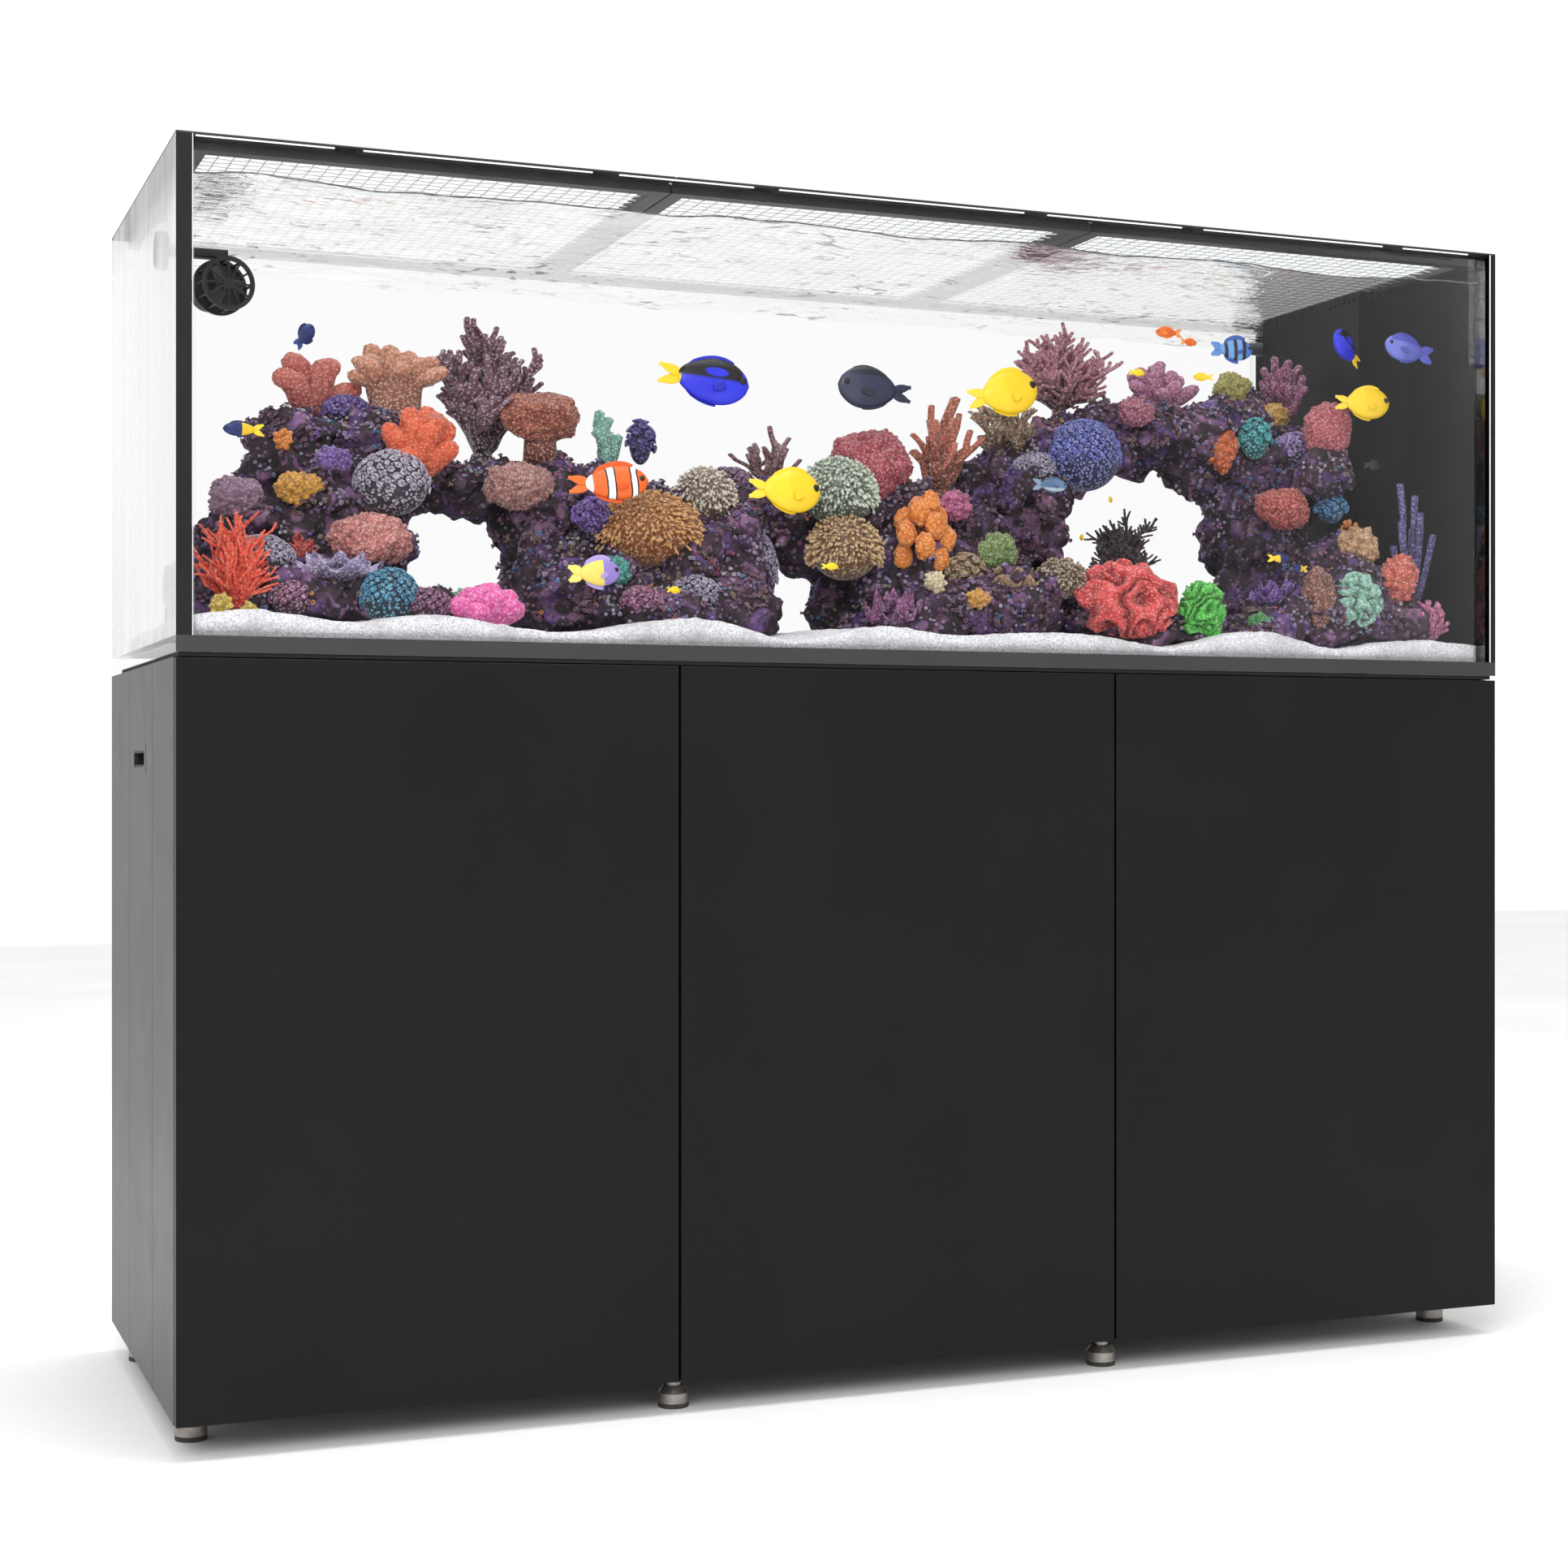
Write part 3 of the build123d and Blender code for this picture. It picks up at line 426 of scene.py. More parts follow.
def area_light(name, place, aim, size, power):
    """Square lamp that faces a point."""
    lamp = bpy.data.lights.new(name, "AREA")
    lamp.size = size
    lamp.energy = power
    made = bpy.data.objects.new(name, lamp)
    made.location = place
    way = np.array(aim, float) - np.array(place, float)
    pitch = math.atan2(math.hypot(way[0], way[1]), -way[2])
    made.rotation_euler = (pitch, 0, math.atan2(way[1], way[0]) - math.pi / 2)
    bpy.context.scene.collection.objects.link(made)


def make_lights():
    """Even white surroundings with a broad front key and an overhead lamp that picks out the reef."""
    world = bpy.data.worlds.new("studio")
    world.use_nodes = True
    world.node_tree.nodes["Background"].inputs["Color"].default_value = (1.0, 1.0, 1.0, 1.0)
    world.node_tree.nodes["Background"].inputs["Strength"].default_value = 1.0
    bpy.context.scene.world = world
    area_light("key", (-2.6, -4.4, 3.4), (0, 0, 1.0), 2.4, 130)
    area_light("top", (0.0, -0.3, 3.6), (0, 0, 1.0), 2.2, 110)
    bpy.context.scene.view_settings.view_transform = "Standard"


def make_camera():
    """Level camera below chest height, left of the object and turned to the right towards it."""
    place, turned_right, lens_mm, shift_up = (-1.319, -3.212, 0.783), 21.65, 57.2, -0.0026
    lens = bpy.data.cameras.new("camera")
    lens.sensor_width = 36.0
    lens.lens = lens_mm
    lens.shift_y = shift_up
    eye = bpy.data.objects.new("camera", lens)
    eye.location = place
    eye.rotation_euler = (math.radians(90), 0, math.radians(-turned_right))
    bpy.context.scene.collection.objects.link(eye)
    bpy.context.scene.camera = eye


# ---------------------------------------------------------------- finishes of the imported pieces
def finish_frame_pieces():
    """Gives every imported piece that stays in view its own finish."""
    clear = pane_glass("display_glass", "FEFEFE", 0.002, 0.38)
    hazy = pane_glass("end_glass_with_film", "FAFBFB", 0.40, 0.72, rough=0.3, streaks=1.0)
    # The cabinet body is the same satin black board as the doors; its lighter grey is painted light, standing in for
    # the sheen its sides show at a slant.
    board_painted_lighter = moulded("cabinet_lacquer_painted_light", "2B2B2B", "272727", 0.42, bump=0.00012, size=6, fine=900, depth=0.05,
                     shine=0.45)
    door = moulded("door_lacquer", "0E0E0E", "0B0B0B", 0.45, bump=0.0001, size=5, fine=1100, depth=0.05,
                   shine=0.17)
    trim = moulded("edge_band", "282828", "242424", 0.5, bump=0.0001, size=8, fine=900, depth=0.06)
    strip = moulded("edge_strip", "171717", "131313", 0.5, bump=0.0001, size=8, fine=900, depth=0.06, shine=0.2)
    foam = moulded("foam_mat", "161616", "0E0E0E", 0.9, bump=0.0008, size=200, fine=1200, depth=0.4)
    film = moulded("black_film", "050505", "040404", 0.7, bump=0.00002, size=10, fine=200, depth=0.1, shine=0.06)
    acrylic = moulded("black_acrylic", "111111", "0D0D0D", 0.5, bump=0.00002, size=12, fine=200, depth=0.08,
                       shine=0.14)
    bead = pane_glass("clear_silicone", "FAFBFB", 0.03, 0.2, rough=0.2)
    pipe = moulded("grey_pipe", "6C6E70", "5F6163", 0.35, bump=0.00015, size=30, fine=700, depth=0.06)
    fitting = moulded("dark_fitting", "3A3B3D", "2E2F31", 0.4, bump=0.0003, size=60, fine=900, depth=0.12)
    pump = moulded("pump_black", "161616", "0E0E0E", 0.5, bump=0.0003, size=90, fine=1500, depth=0.15)
    propeller = moulded("propeller_grey", "4A4C50", "3A3C40", 0.35, bump=0.0002, size=90, fine=900, depth=0.1)
    bar = moulded("lid_bar", "262626", "1C1C1C", 0.45, bump=0.0001, size=12, fine=900, depth=0.06)
    port = moulded("port_black", "070707", "0B0B0B", 0.6, bump=0.0002, size=60, fine=900, depth=0.2)
    nickel = moulded("nickel_plate", "A8A6A2", "9A9894", 0.28, bump=0.0001, size=60, fine=700, depth=0.05,
                     metallic=1.0, lines=True)
    latch = moulded("latch_grey", "55565A", "4B4C50", 0.45, bump=0.0002, size=60, fine=1100, depth=0.1)
    nylon = moulded("nylon_white", "CFCFCB", "C2C2BD", 0.4, bump=0.0001, size=60, fine=900, depth=0.05)
    turned = moulded("turned_zinc", "A7A19B", "8F8A84", 0.3, bump=0.0002, size=50, fine=500, depth=0.08,
                     metallic=0.85, lines=True)
    rubber = moulded("foot_rubber", "3C3A38", "302E2C", 0.8, bump=0.0005, size=120, fine=1300, depth=0.2)
    sump = pane_glass("sump_glass", "DDEFE8", 0.08, 0.6)
    tower = moulded("skimmer_acrylic", "AEB6BA", "98A2A8", 0.18, bump=0.0001, size=14, fine=300, depth=0.1)
    lever = moulded("valve_red", "9C1C16", "8A1712", 0.4, bump=0.0002, size=50, fine=900, depth=0.08)
    worn = {
        clear: ("glass_base", "glass_front", "glass_rear", "glass_right_end"),
        hazy: ("glass_left_end",),
        board_painted_lighter: ("cabinet_side_left", "cabinet_side_right", "cabinet_bottom", "cabinet_top", "cabinet_back",
                "cabinet_partition", "front_stile"),
        door: ("door_left", "door_middle", "door_right"),
        trim: ("base_edge_trim",),
        strip: ("edge_strips",),
        foam: ("levelling_mat",),
        film: ("right_end_film",),
        acrylic: ("overflow_box", "weir_comb"),
        bead: ("silicone_seams",),
        pipe: ("drain_standpipe", "return_riser", "return_nozzle", "return_pipe", "drain_pipe_upper",
               "drain_pipe_lower"),
        fitting: ("bulkhead_fittings", "drain_valve"),
        pump: ("pump_holder", "pump_body", "pump_cage", "sump_return_pump"),
        propeller: ("pump_propeller",),
        bar: ("lid_frame_left", "lid_frame_middle", "lid_frame_right"),
        port: ("cable_port",),
        nickel: ("hinge_arms", "hinge_cups_left", "hinge_cups_middle", "hinge_cups_right"),
        latch: ("latch_housings",),
        nylon: ("latch_plunger_left", "latch_plunger_middle", "latch_plunger_right"),
        turned: ("foot_bodies",),
        rubber: ("foot_pads",),
        sump: ("sump_tank", "sump_baffles"),
        tower: ("protein_skimmer",),
        lever: ("drain_valve_lever",),
    }
    for finish, nodes in worn.items():
        for name in nodes:
            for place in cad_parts[name].material_slots:
                place.material = finish


# ---------------------------------------------------------------- water, sand and lids
def water_height(gx, gy):
    """Height of the water: two crossed sine swells plus fine cloudy noise."""
    swell = 0.0022 * np.sin(gx * 19 + 6 * gy) + 0.0014 * np.sin(gy * 31 - gx * 11 + 1.3)
    places = np.stack([gx * 16, gy * 24, 0 * gx], axis=-1)
    return WATER_Z + swell + 0.0018 * rough_noise(places, 3, 5)


def make_water_surface():
    """Rippled skin of the water: one open sheet over its height field, clear from above and mirroring from below;
    reef colours tint the mirror in ripple dashes as a painted reflection of the reef.
    """
    x = np.linspace(PANE_LEFT + SHEET_GAP, PANE_RIGHT - SHEET_GAP, 240)
    y = np.linspace(PANE_FRONT + SHEET_GAP, PANE_REAR - SHEET_GAP, 90)
    gx, gy = np.meshgrid(x, y, indexing="ij")
    top = water_height(gx, gy)
    upper = np.stack([gx, gy, top], axis=-1).reshape(-1, 3)
    i, j = np.meshgrid(np.arange(len(x) - 1), np.arange(len(y) - 1), indexing="ij")
    a = (i * len(y) + j).reshape(-1)
    faces = np.stack([a, a + len(y), a + len(y) + 1, a + 1], axis=-1)
    skin = {"v": upper, "q": faces, "t": np.zeros((0, 3), int), "k": np.ones(len(upper))}
    made, tree, leave = blank_material("water_skin")
    place = scaled_place(tree, 1.0)
    long_place = add(tree, "ShaderNodeVectorMath", {"operation": "MULTIPLY"}, i0=place, i1=(34.0, 62.0, 1.0))
    ripples = add(tree, "ShaderNodeTexNoise", Vector=long_place.outputs[0], Scale=1.0, Detail=3.0, Distortion=0.6)
    wide = add(tree, "ShaderNodeTexNoise", Vector=place, Scale=6.0, Detail=2.0)
    dash = remap(tree, ripples.outputs["Fac"], 0.58, 0.66)
    patch = remap(tree, wide.outputs["Fac"], 0.42, 0.6, to_high=0.75)
    dark = sums(tree, "MULTIPLY", dash.outputs[0], patch.outputs[0])
    # Painted reflection: rose, brown and violet reef colours tint the mirror in the ripple dashes.
    drift = add(tree, "ShaderNodeTexNoise", Vector=place, Scale=2.6, Detail=1.0)
    cast = add(tree, "ShaderNodeValToRGB", Fac=drift.outputs["Fac"])
    for element, stop, colour in zip([cast.color_ramp.elements[0], cast.color_ramp.elements[1],
                                      cast.color_ramp.elements.new(0.47), cast.color_ramp.elements.new(0.55)],
                                     (0.38, 0.65, 0.47, 0.55), ("5E5C62", "8C4A58", "8A5648", "6C5A80")):
        element.position = stop
        element.color = rgb(colour)
    sheen = mixed(tree, dark.outputs[0], (0.97, 0.97, 0.97, 1.0), cast.outputs["Color"])
    clear = add(tree, "ShaderNodeBsdfTransparent", Color=rgb("FBFCFC"))
    normal = add(tree, "ShaderNodeBump", Height=ripples.outputs["Fac"], Distance=0.006, Strength=0.6)
    mirror = add(tree, "ShaderNodeBsdfGlossy", Color=sheen.outputs[2], Roughness=0.03, Normal=normal.outputs[0])
    back = add(tree, "ShaderNodeNewGeometry").outputs["Backfacing"]
    share = remap(tree, back, to_low=0.12, to_high=0.70)
    surface = add(tree, "ShaderNodeMixShader", i0=share.outputs[0], i1=clear.outputs[0], i2=mirror.outputs[0])
    tree.links.new(surface.outputs[0], leave.inputs["Surface"])
    make_piece("water_surface", skin, made)


def sand_height(gx, gy):
    """Sand surface: three sine waves along the tank whose crests drift with depth, and cloudy hollows."""
    places = np.stack([gx * 4.2, gy * 5.5, 0 * gx], axis=-1)
    back = gy - PANE_FRONT
    dunes = (0.0036 * np.sin(15 * gx - 6 * back - 0.3) + 0.0078 * np.sin(23 * gx + 7 * back + 2.0)
             + 0.0020 * np.sin(32 * gx + 3.1))
    return SAND_TOP + 0.001 + dunes + 0.003 * rough_noise(places, 4, 3)


def make_sand():
    """The bed under its height field, roughened by fine noise; it drops to the floor glass inside the overflow."""
    x = np.linspace(PANE_LEFT + SHEET_GAP, PANE_RIGHT - SHEET_GAP, 340)
    y = np.linspace(PANE_FRONT + SHEET_GAP, PANE_REAR - SHEET_GAP, 110)
    gx, gy = np.meshgrid(x, y, indexing="ij")
    fine = 0.0012 * rough_noise(np.stack([gx * 90, gy * 90, 0 * gx], axis=-1), 3, 8)
    top = sand_height(gx, gy) + fine
    inside = (gx > WEIR_LOW.x + 0.004) & (np.abs(gy) < WEIR_HIGH.y - 0.004)
    top = np.where(inside, FLOOR_GLASS + 0.001, top)
    made, tree, leave = blank_material("reef_sand")
    place = scaled_place(tree, 1.0)
    grains = add(tree, "ShaderNodeTexVoronoi", Vector=place, Scale=620.0)
    shade = remap(tree, add(tree, "ShaderNodeSeparateColor", Color=grains.outputs["Color"]).outputs[0])
    drift = add(tree, "ShaderNodeTexNoise", Vector=place, Scale=22.0, Detail=4.0)
    pale = mixed(tree, shade.outputs[0], rgb("B6B6BC"), rgb("F4F4F8"))
    stained = remap(tree, drift.outputs["Fac"], 0.5, 0.75, to_high=0.6)
    colour = mixed(tree, stained.outputs[0], pale.outputs[2], rgb("A9A6A8"))
    normal = add(tree, "ShaderNodeBump", Height=grains.outputs["Distance"], Distance=0.0009, Strength=0.7)
    surface = add(tree, "ShaderNodeBsdfPrincipled", Base_Color=colour.outputs[2], Roughness=0.85,
                  Normal=normal.outputs[0])
    tree.links.new(surface.outputs[0], leave.inputs["Surface"])
    sand = make_piece("sand_surface", bed(top, x, y, FLOOR_GLASS + 0.0004), made)
    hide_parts("sand_bed")


def make_net(which):
    """Open net: two square-set rows of threads, each passing over and under the others by a cosine along it."""
    low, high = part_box("lid_net_" + which)
    pitch, thread, over = 0.0188, 0.0009, 0.0007
    middle_z = (low.z + high.z) / 2
    sets = []
    for along, across in ((0, 1), (1, 0)):
        count = int(round((high[across] - low[across]) / pitch))
        lines = low[across] + np.arange(1, count) * (high[across] - low[across]) / count
        steps = np.linspace(low[along], high[along], 2 * int(round((high[along] - low[along]) / pitch)) + 1)
        path = np.zeros((len(lines), len(steps), 3))
        path[..., along] = steps
        path[..., across] = lines[:, None]
        weave = np.cos(np.pi * (np.arange(len(steps)) / 2 + np.arange(len(lines))[:, None] + along))
        path[..., 2] = middle_z + over * weave
        sets.append(tubes(path, thread, sides=4))
    net = make_piece("net_" + which, join(sets), NET_THREAD, body="lid_" + which)
    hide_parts("lid_net_" + which)


NET_THREAD = moulded("net_thread", "C8CCCC", "B4B9BA", 0.3, bump=0.0001, size=60, fine=900, depth=0.05)


# ---------------------------------------------------------------- live rock
# Each lump: centre x, y, z and the three radii of its egg.
LUMPS_LEFT = (
    (-0.80, -0.06, 1.00, 0.085, 0.10, 0.070), (-0.71, -0.03, 1.01, 0.120, 0.13, 0.085),
    (-0.645, -0.05, 1.04, 0.060, 0.11, 0.100), (-0.77, -0.04, 1.08, 0.075, 0.10, 0.060),
    (-0.69, -0.04, 1.12, 0.085, 0.10, 0.080), (-0.62, -0.03, 1.15, 0.065, 0.09, 0.055),
    (-0.74, -0.02, 1.16, 0.055, 0.08, 0.055), (-0.66, 0.00, 1.20, 0.085, 0.08, 0.055),
    (-0.60, -0.01, 1.21, 0.060, 0.07, 0.050), (-0.73, 0.00, 1.225, 0.050, 0.06, 0.035),
    (-0.53, -0.02, 1.165, 0.060, 0.07, 0.032), (-0.48, -0.02, 1.165, 0.050, 0.07, 0.036),
    (-0.70, -0.16, 1.00, 0.090, 0.06, 0.055), (-0.62, -0.18, 0.99, 0.080, 0.05, 0.040),
    (-0.82, -0.15, 0.99, 0.050, 0.06, 0.045),
)
LUMPS_CENTRE = (
    (-0.41, -0.02, 1.12, 0.055, 0.09, 0.075), (-0.405, -0.04, 1.03, 0.045, 0.10, 0.070),
    (-0.35, -0.05, 1.01, 0.105, 0.14, 0.080), (-0.38, -0.01, 1.17, 0.070, 0.08, 0.045),
    (-0.30, -0.03, 1.10, 0.095, 0.11, 0.070), (-0.22, -0.04, 1.04, 0.095, 0.13, 0.090),
    (-0.20, -0.01, 1.13, 0.085, 0.09, 0.050), (-0.160, -0.05, 1.06, 0.048, 0.10, 0.090),
    (-0.10, -0.04, 1.15, 0.050, 0.08, 0.040), (-0.045, -0.03, 1.140, 0.055, 0.07, 0.042),
    (-0.030, -0.04, 1.100, 0.050, 0.07, 0.036), (-0.085, -0.04, 1.110, 0.040, 0.07, 0.030),
    (-0.28, -0.17, 0.99, 0.080, 0.05, 0.040), (-0.17, -0.15, 1.00, 0.060, 0.05, 0.055),
    (0.058, -0.05, 1.03, 0.055, 0.11, 0.100), (0.03, -0.04, 1.14, 0.060, 0.08, 0.055),
    (0.13, -0.05, 1.04, 0.100, 0.13, 0.095), (0.11, -0.02, 1.15, 0.085, 0.09, 0.050),
    (0.23, -0.05, 1.02, 0.100, 0.12, 0.075), (0.21, -0.03, 1.12, 0.085, 0.09, 0.070),
    (0.30, -0.06, 1.00, 0.070, 0.10, 0.055), (0.310, -0.05, 1.13, 0.050, 0.08, 0.060),
    (0.10, -0.17, 1.00, 0.080, 0.05, 0.050), (0.22, -0.17, 1.01, 0.085, 0.05, 0.060),
)
LUMPS_RIGHT = (
    (0.26, -0.03, 1.19, 0.055, 0.08, 0.055), (0.31, -0.03, 1.21, 0.065, 0.08, 0.060),
    (0.37, -0.03, 1.245, 0.070, 0.08, 0.055), (0.44, -0.02, 1.275, 0.075, 0.08, 0.050),
    (0.52, -0.02, 1.285, 0.080, 0.08, 0.055), (0.60, -0.02, 1.275, 0.075, 0.09, 0.065),
    (0.67, -0.02, 1.26, 0.080, 0.09, 0.085), (0.73, -0.02, 1.22, 0.060, 0.08, 0.095),
    (0.68, -0.05, 1.14, 0.060, 0.09, 0.080), (0.72, -0.05, 1.07, 0.070, 0.09, 0.080),
    (0.66, -0.06, 1.02, 0.080, 0.10, 0.060), (0.70, -0.18, 1.01, 0.080, 0.07, 0.060),
    (0.76, -0.20, 1.03, 0.060, 0.05, 0.070), (0.82, -0.22, 1.00, 0.050, 0.045, 0.045),
    (0.60, -0.20, 0.99, 0.055, 0.05, 0.035), (0.74, -0.15, 1.09, 0.045, 0.05, 0.050),
    (0.44, -0.20, 0.985, 0.080, 0.05, 0.030), (0.37, -0.14, 0.995, 0.080, 0.08, 0.045),
    (0.745, -0.13, 1.225, 0.042, 0.06, 0.045), (0.52, -0.10, 0.985, 0.060, 0.06, 0.030),
)
ROCK_VOXEL = 0.0065


def make_rock_finish():
    """Porous stone: near-black purple ground, plum stone, and lilac and rose crusts in separate patches; the tone
    paints shade into the hollows and light onto the outer parts.
    """
    made, tree, leave = blank_material("live_rock")
    place = scaled_place(tree, 1.0)
    base = use_group(tree, MOTTLE, First=rgb("241A20"), Second=rgb("43303E"), Size=55.0, Fine=420.0, Depth=0.5)
    crust = add(tree, "ShaderNodeTexNoise", Vector=place, Scale=34.0, Detail=5.0, Distortion=0.9)
    plum = remap(tree, crust.outputs["Fac"], 0.52, 0.60)
    tint = add(tree, "ShaderNodeTexNoise", Vector=place, Scale=12.0, Detail=2.0)
    which = remap(tree, tint.outputs["Fac"], 0.42, 0.58)
    bright = mixed(tree, which.outputs[0], rgb("5A3F7C"), rgb("8C6484"))
    share = sums(tree, "MULTIPLY", plum.outputs[0], 0.85)
    crusted = mixed(tree, share.outputs[0], base.outputs["Color"], bright.outputs[2])
    spots = add(tree, "ShaderNodeTexVoronoi", Vector=place, Scale=105.0)
    spot = remap(tree, spots.outputs["Distance"], 0.16, 0.30, 0.55, 0.0)
    light = mixed(tree, spot.outputs[0], crusted.outputs[2], rgb("A894B8"))
    tone = add(tree, "ShaderNodeAttribute", {"attribute_name": "tone"}).outputs["Fac"]
    # Painted shade and light: the tone darkens the colour in the hollows and lightens it on the outer parts.
    painted_hollow_shade = remap(tree, tone, to_low=0.25, to_high=1.15)
    colour = add(tree, "ShaderNodeVectorMath", {"operation": "SCALE"}, i0=light.outputs[2],
                 Scale=painted_hollow_shade.outputs[0])
    normal = add(tree, "ShaderNodeBump", Height=spots.outputs["Distance"], Distance=0.004, Strength=0.8)
    surface = add(tree, "ShaderNodeBsdfPrincipled", Base_Color=colour.outputs[0], Roughness=0.8,
                  Normal=normal.outputs[0])
    tree.links.new(surface.outputs[0], leave.inputs["Surface"])
    return made


def make_rock(name, lumps, material, node):
    """One stack of stone: lumpy eggs are fused on a fine voxel grid, then every point moves along its normal by
    cloudy noise plus small and large knobs with pits between them; tone is how far out it ends up, and the finish
    turns it into painted shade in the hollows and painted light on the outer parts."""
    eggs = []
    for number, (x, y, z, rx, ry, rz) in enumerate(lumps):
        egg = ball((0, 0, 0), (1, 1, 1), 40, 26)
        bulge = 1 + 0.22 * rough_noise(egg["v"] * 2.1 + number * 7.7, 3, number)
        egg["v"] = egg["v"] * bulge[:, None] * (rx, ry, rz) + (x, y, z)
        eggs.append(egg)
    rough = make_piece(name, join(eggs), material)
    fuse = rough.modifiers.new("fuse", "REMESH")
    fuse.mode = "VOXEL"
    fuse.voxel_size = ROCK_VOXEL
    fused = bpy.data.meshes.new_from_object(rough.evaluated_get(bpy.context.evaluated_depsgraph_get()))
    rough.modifiers.clear()
    points = np.zeros(len(fused.vertices) * 3)
    fused.vertices.foreach_get("co", points)
    normals = np.zeros(len(points))
    fused.vertices.foreach_get("normal", normals)
    points, normals = points.reshape(-1, 3), normals.reshape(-1, 3)
    knobs = pit_noise(points * 34, 4)
    caves = pit_noise(points * 15.5, 21)
    push = 0.014 * (0.55 - knobs) + 0.020 * (0.50 - caves) + 0.008 * rough_noise(points * 55, 3, 9) - 0.003
    points = points + normals * push[:, None]
    points[:, 2] = np.maximum(points[:, 2], SAND_TOP - ROCK_BURIED)
    fused.vertices.foreach_set("co", points.reshape(-1))
    # The tone, low in the hollows and high on the outer parts, drives the painted shade and light of the rock
    # finish.
    tone = fused.attributes.new("tone", "FLOAT", "POINT")
    tone.data.foreach_set("value", np.clip(0.72 + push * 42, 0, 1).astype(np.float32))
    fused.polygons.foreach_set("use_smooth", np.ones(len(fused.polygons), bool))
    fused.update()
    rough.data = fused
    if not fused.materials:
        fused.materials.append(material)
    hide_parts(node)
    return rough


# ---------------------------------------------------------------- coral shapes
def grow(start, way, steps, seed, lift=0.0, wander=0.16):
    """Paths from start points along way vectors: growth that bends upward with the square of the distance, and
    wanders by soft noise."""
    t = np.linspace(0, 1, steps)[None, :, None]
    reach = np.linalg.norm(way, axis=-1)[:, None, None]
    path = start[:, None] + way[:, None] * t + np.array([0, 0, lift]) * reach * t ** 2
    stray = np.stack([soft_noise(path * 55 + 13 * n, seed + n) for n in range(3)], axis=-1)
    return path + stray * reach * wander * t


def bush(foot, wide, tall, seed, stems=11, forks=4, levels=2, thick=0.0045, blunt=0.55, depth=0.75, lift=0.1,
         trunk=0.0, sides=6, wander=0.16):
    """Branching colony: stems fan out of a foot, and each level of forks leaves its parents part way along."""
    rng = np.random.default_rng(seed)
    foot = np.array(foot, float)
    lean = np.sqrt((np.arange(stems) + 0.5) / stems)
    turn = np.arange(stems) * 2.4 + rng.uniform(0, 0.8, stems)
    crown = np.array([0, 0, trunk * tall])
    way = np.stack([lean * np.cos(turn) * wide * 0.40, lean * np.sin(turn) * wide * 0.40 * depth,
                    tall * (1 - trunk) * (0.92 - 0.62 * lean ** 2)], axis=-1)
    way *= rng.uniform(0.8, 1.0, (stems, 1))
    paths = grow(np.repeat((foot + crown)[None], stems, axis=0), way, 7, seed, lift, wander)
    shells = [tubes(paths, np.linspace(thick * 1.3, thick * blunt * 1.3, 7), sides, np.linspace(0, 0.6, 7))]
    if trunk:
        post = foot + crown * np.linspace(-0.2, 1.08, 6)[:, None]
        shells.append(tubes(post, np.linspace(thick * 3.0, thick * 2.0, 6), 12, np.linspace(0, 0.15, 6)))
    size = 0.34
    for level in range(levels):
        parent = np.repeat(paths, forks, axis=0)
        at = rng.uniform(0.35, 0.98, len(parent)) * (paths.shape[1] - 1)
        cell = np.minimum(at.astype(int), paths.shape[1] - 2)
        part = (at - cell)[:, None]
        row = np.arange(len(parent))
        start = parent[row, cell] * (1 - part) + parent[row, cell + 1] * part
        ahead = unit(parent[row, cell + 1] - parent[row, cell])
        stray = unit(rng.normal(size=ahead.shape)) * (1, depth, 1)
        way = unit(ahead * 0.7 + stray * 0.8 + (0, 0, 0.25)) * max(tall, wide) * size
        way *= rng.uniform(0.6, 1.1, (len(row), 1))
        paths = grow(start, way, 5, seed + level + 3, lift, wander)
        thick *= 0.80
        shells.append(tubes(paths, np.linspace(thick, thick * blunt, 5), sides,
                            np.linspace(0.35 + 0.15 * level, 1.0, 5)))
        size *= 0.55
    return join(shells)


def dome(foot, wide, tall, seed, knob=0.012, rise=0.006, folds=False, depth=0.8, fine=72, stalk=0.0):
    """Rounded colony: an egg swollen by broad noise, covered by knobs (unit-cell dots) or by winding folds
    (the sine of a noise field)."""
    egg = ball((0, 0, 0), (1, 1, 1), fine, int(fine * 0.6))
    way = unit(egg["v"])
    swell = 1 + 0.16 * rough_noise(way * 1.7 + seed * 3.1, 3, seed)
    body = tall * (1 - stalk)
    size = np.array([wide / 2 - rise, wide / 2 * depth - rise, body / 2 * 1.15 - rise])
    points = way * size * swell[:, None]
    if folds:
        relief = np.abs(np.sin(5.5 * rough_noise(points / knob * 0.55, 2, seed))) - 0.4
    else:
        relief = 0.72 - pit_noise(points / knob, seed)
    points = points + way * (rise * 1.4 * relief)[:, None]
    egg["v"] = points + foot + np.array([0, 0, stalk * tall + body * 0.45])
    # Low places between the knobs take the darker root colour: partly own colour, partly painted shade.
    egg["k"] = np.clip(0.42 + 0.75 * relief, 0, 1)
    if not stalk:
        return egg
    post = np.array(foot) + np.array([0, 0, 1.0]) * np.linspace(-0.1, stalk + 0.25, 6)[:, None] * tall
    return join([egg, tubes(post, np.linspace(wide * 0.2, wide * 0.17, 6), 16, np.zeros(6))])


def golden_spread(count, drop, start=0):
    """Directions spread by the golden angle over an egg, from its top down to height 1 - drop, and their turns."""
    order = (np.arange(count) + 0.5) / count
    rise = 1 - drop * order
    flat = np.sqrt(1 - rise ** 2)
    turn = np.arange(count) * GOLDEN_TURN + start
    return np.stack([flat * np.cos(turn), flat * np.sin(turn), rise], axis=-1), turn


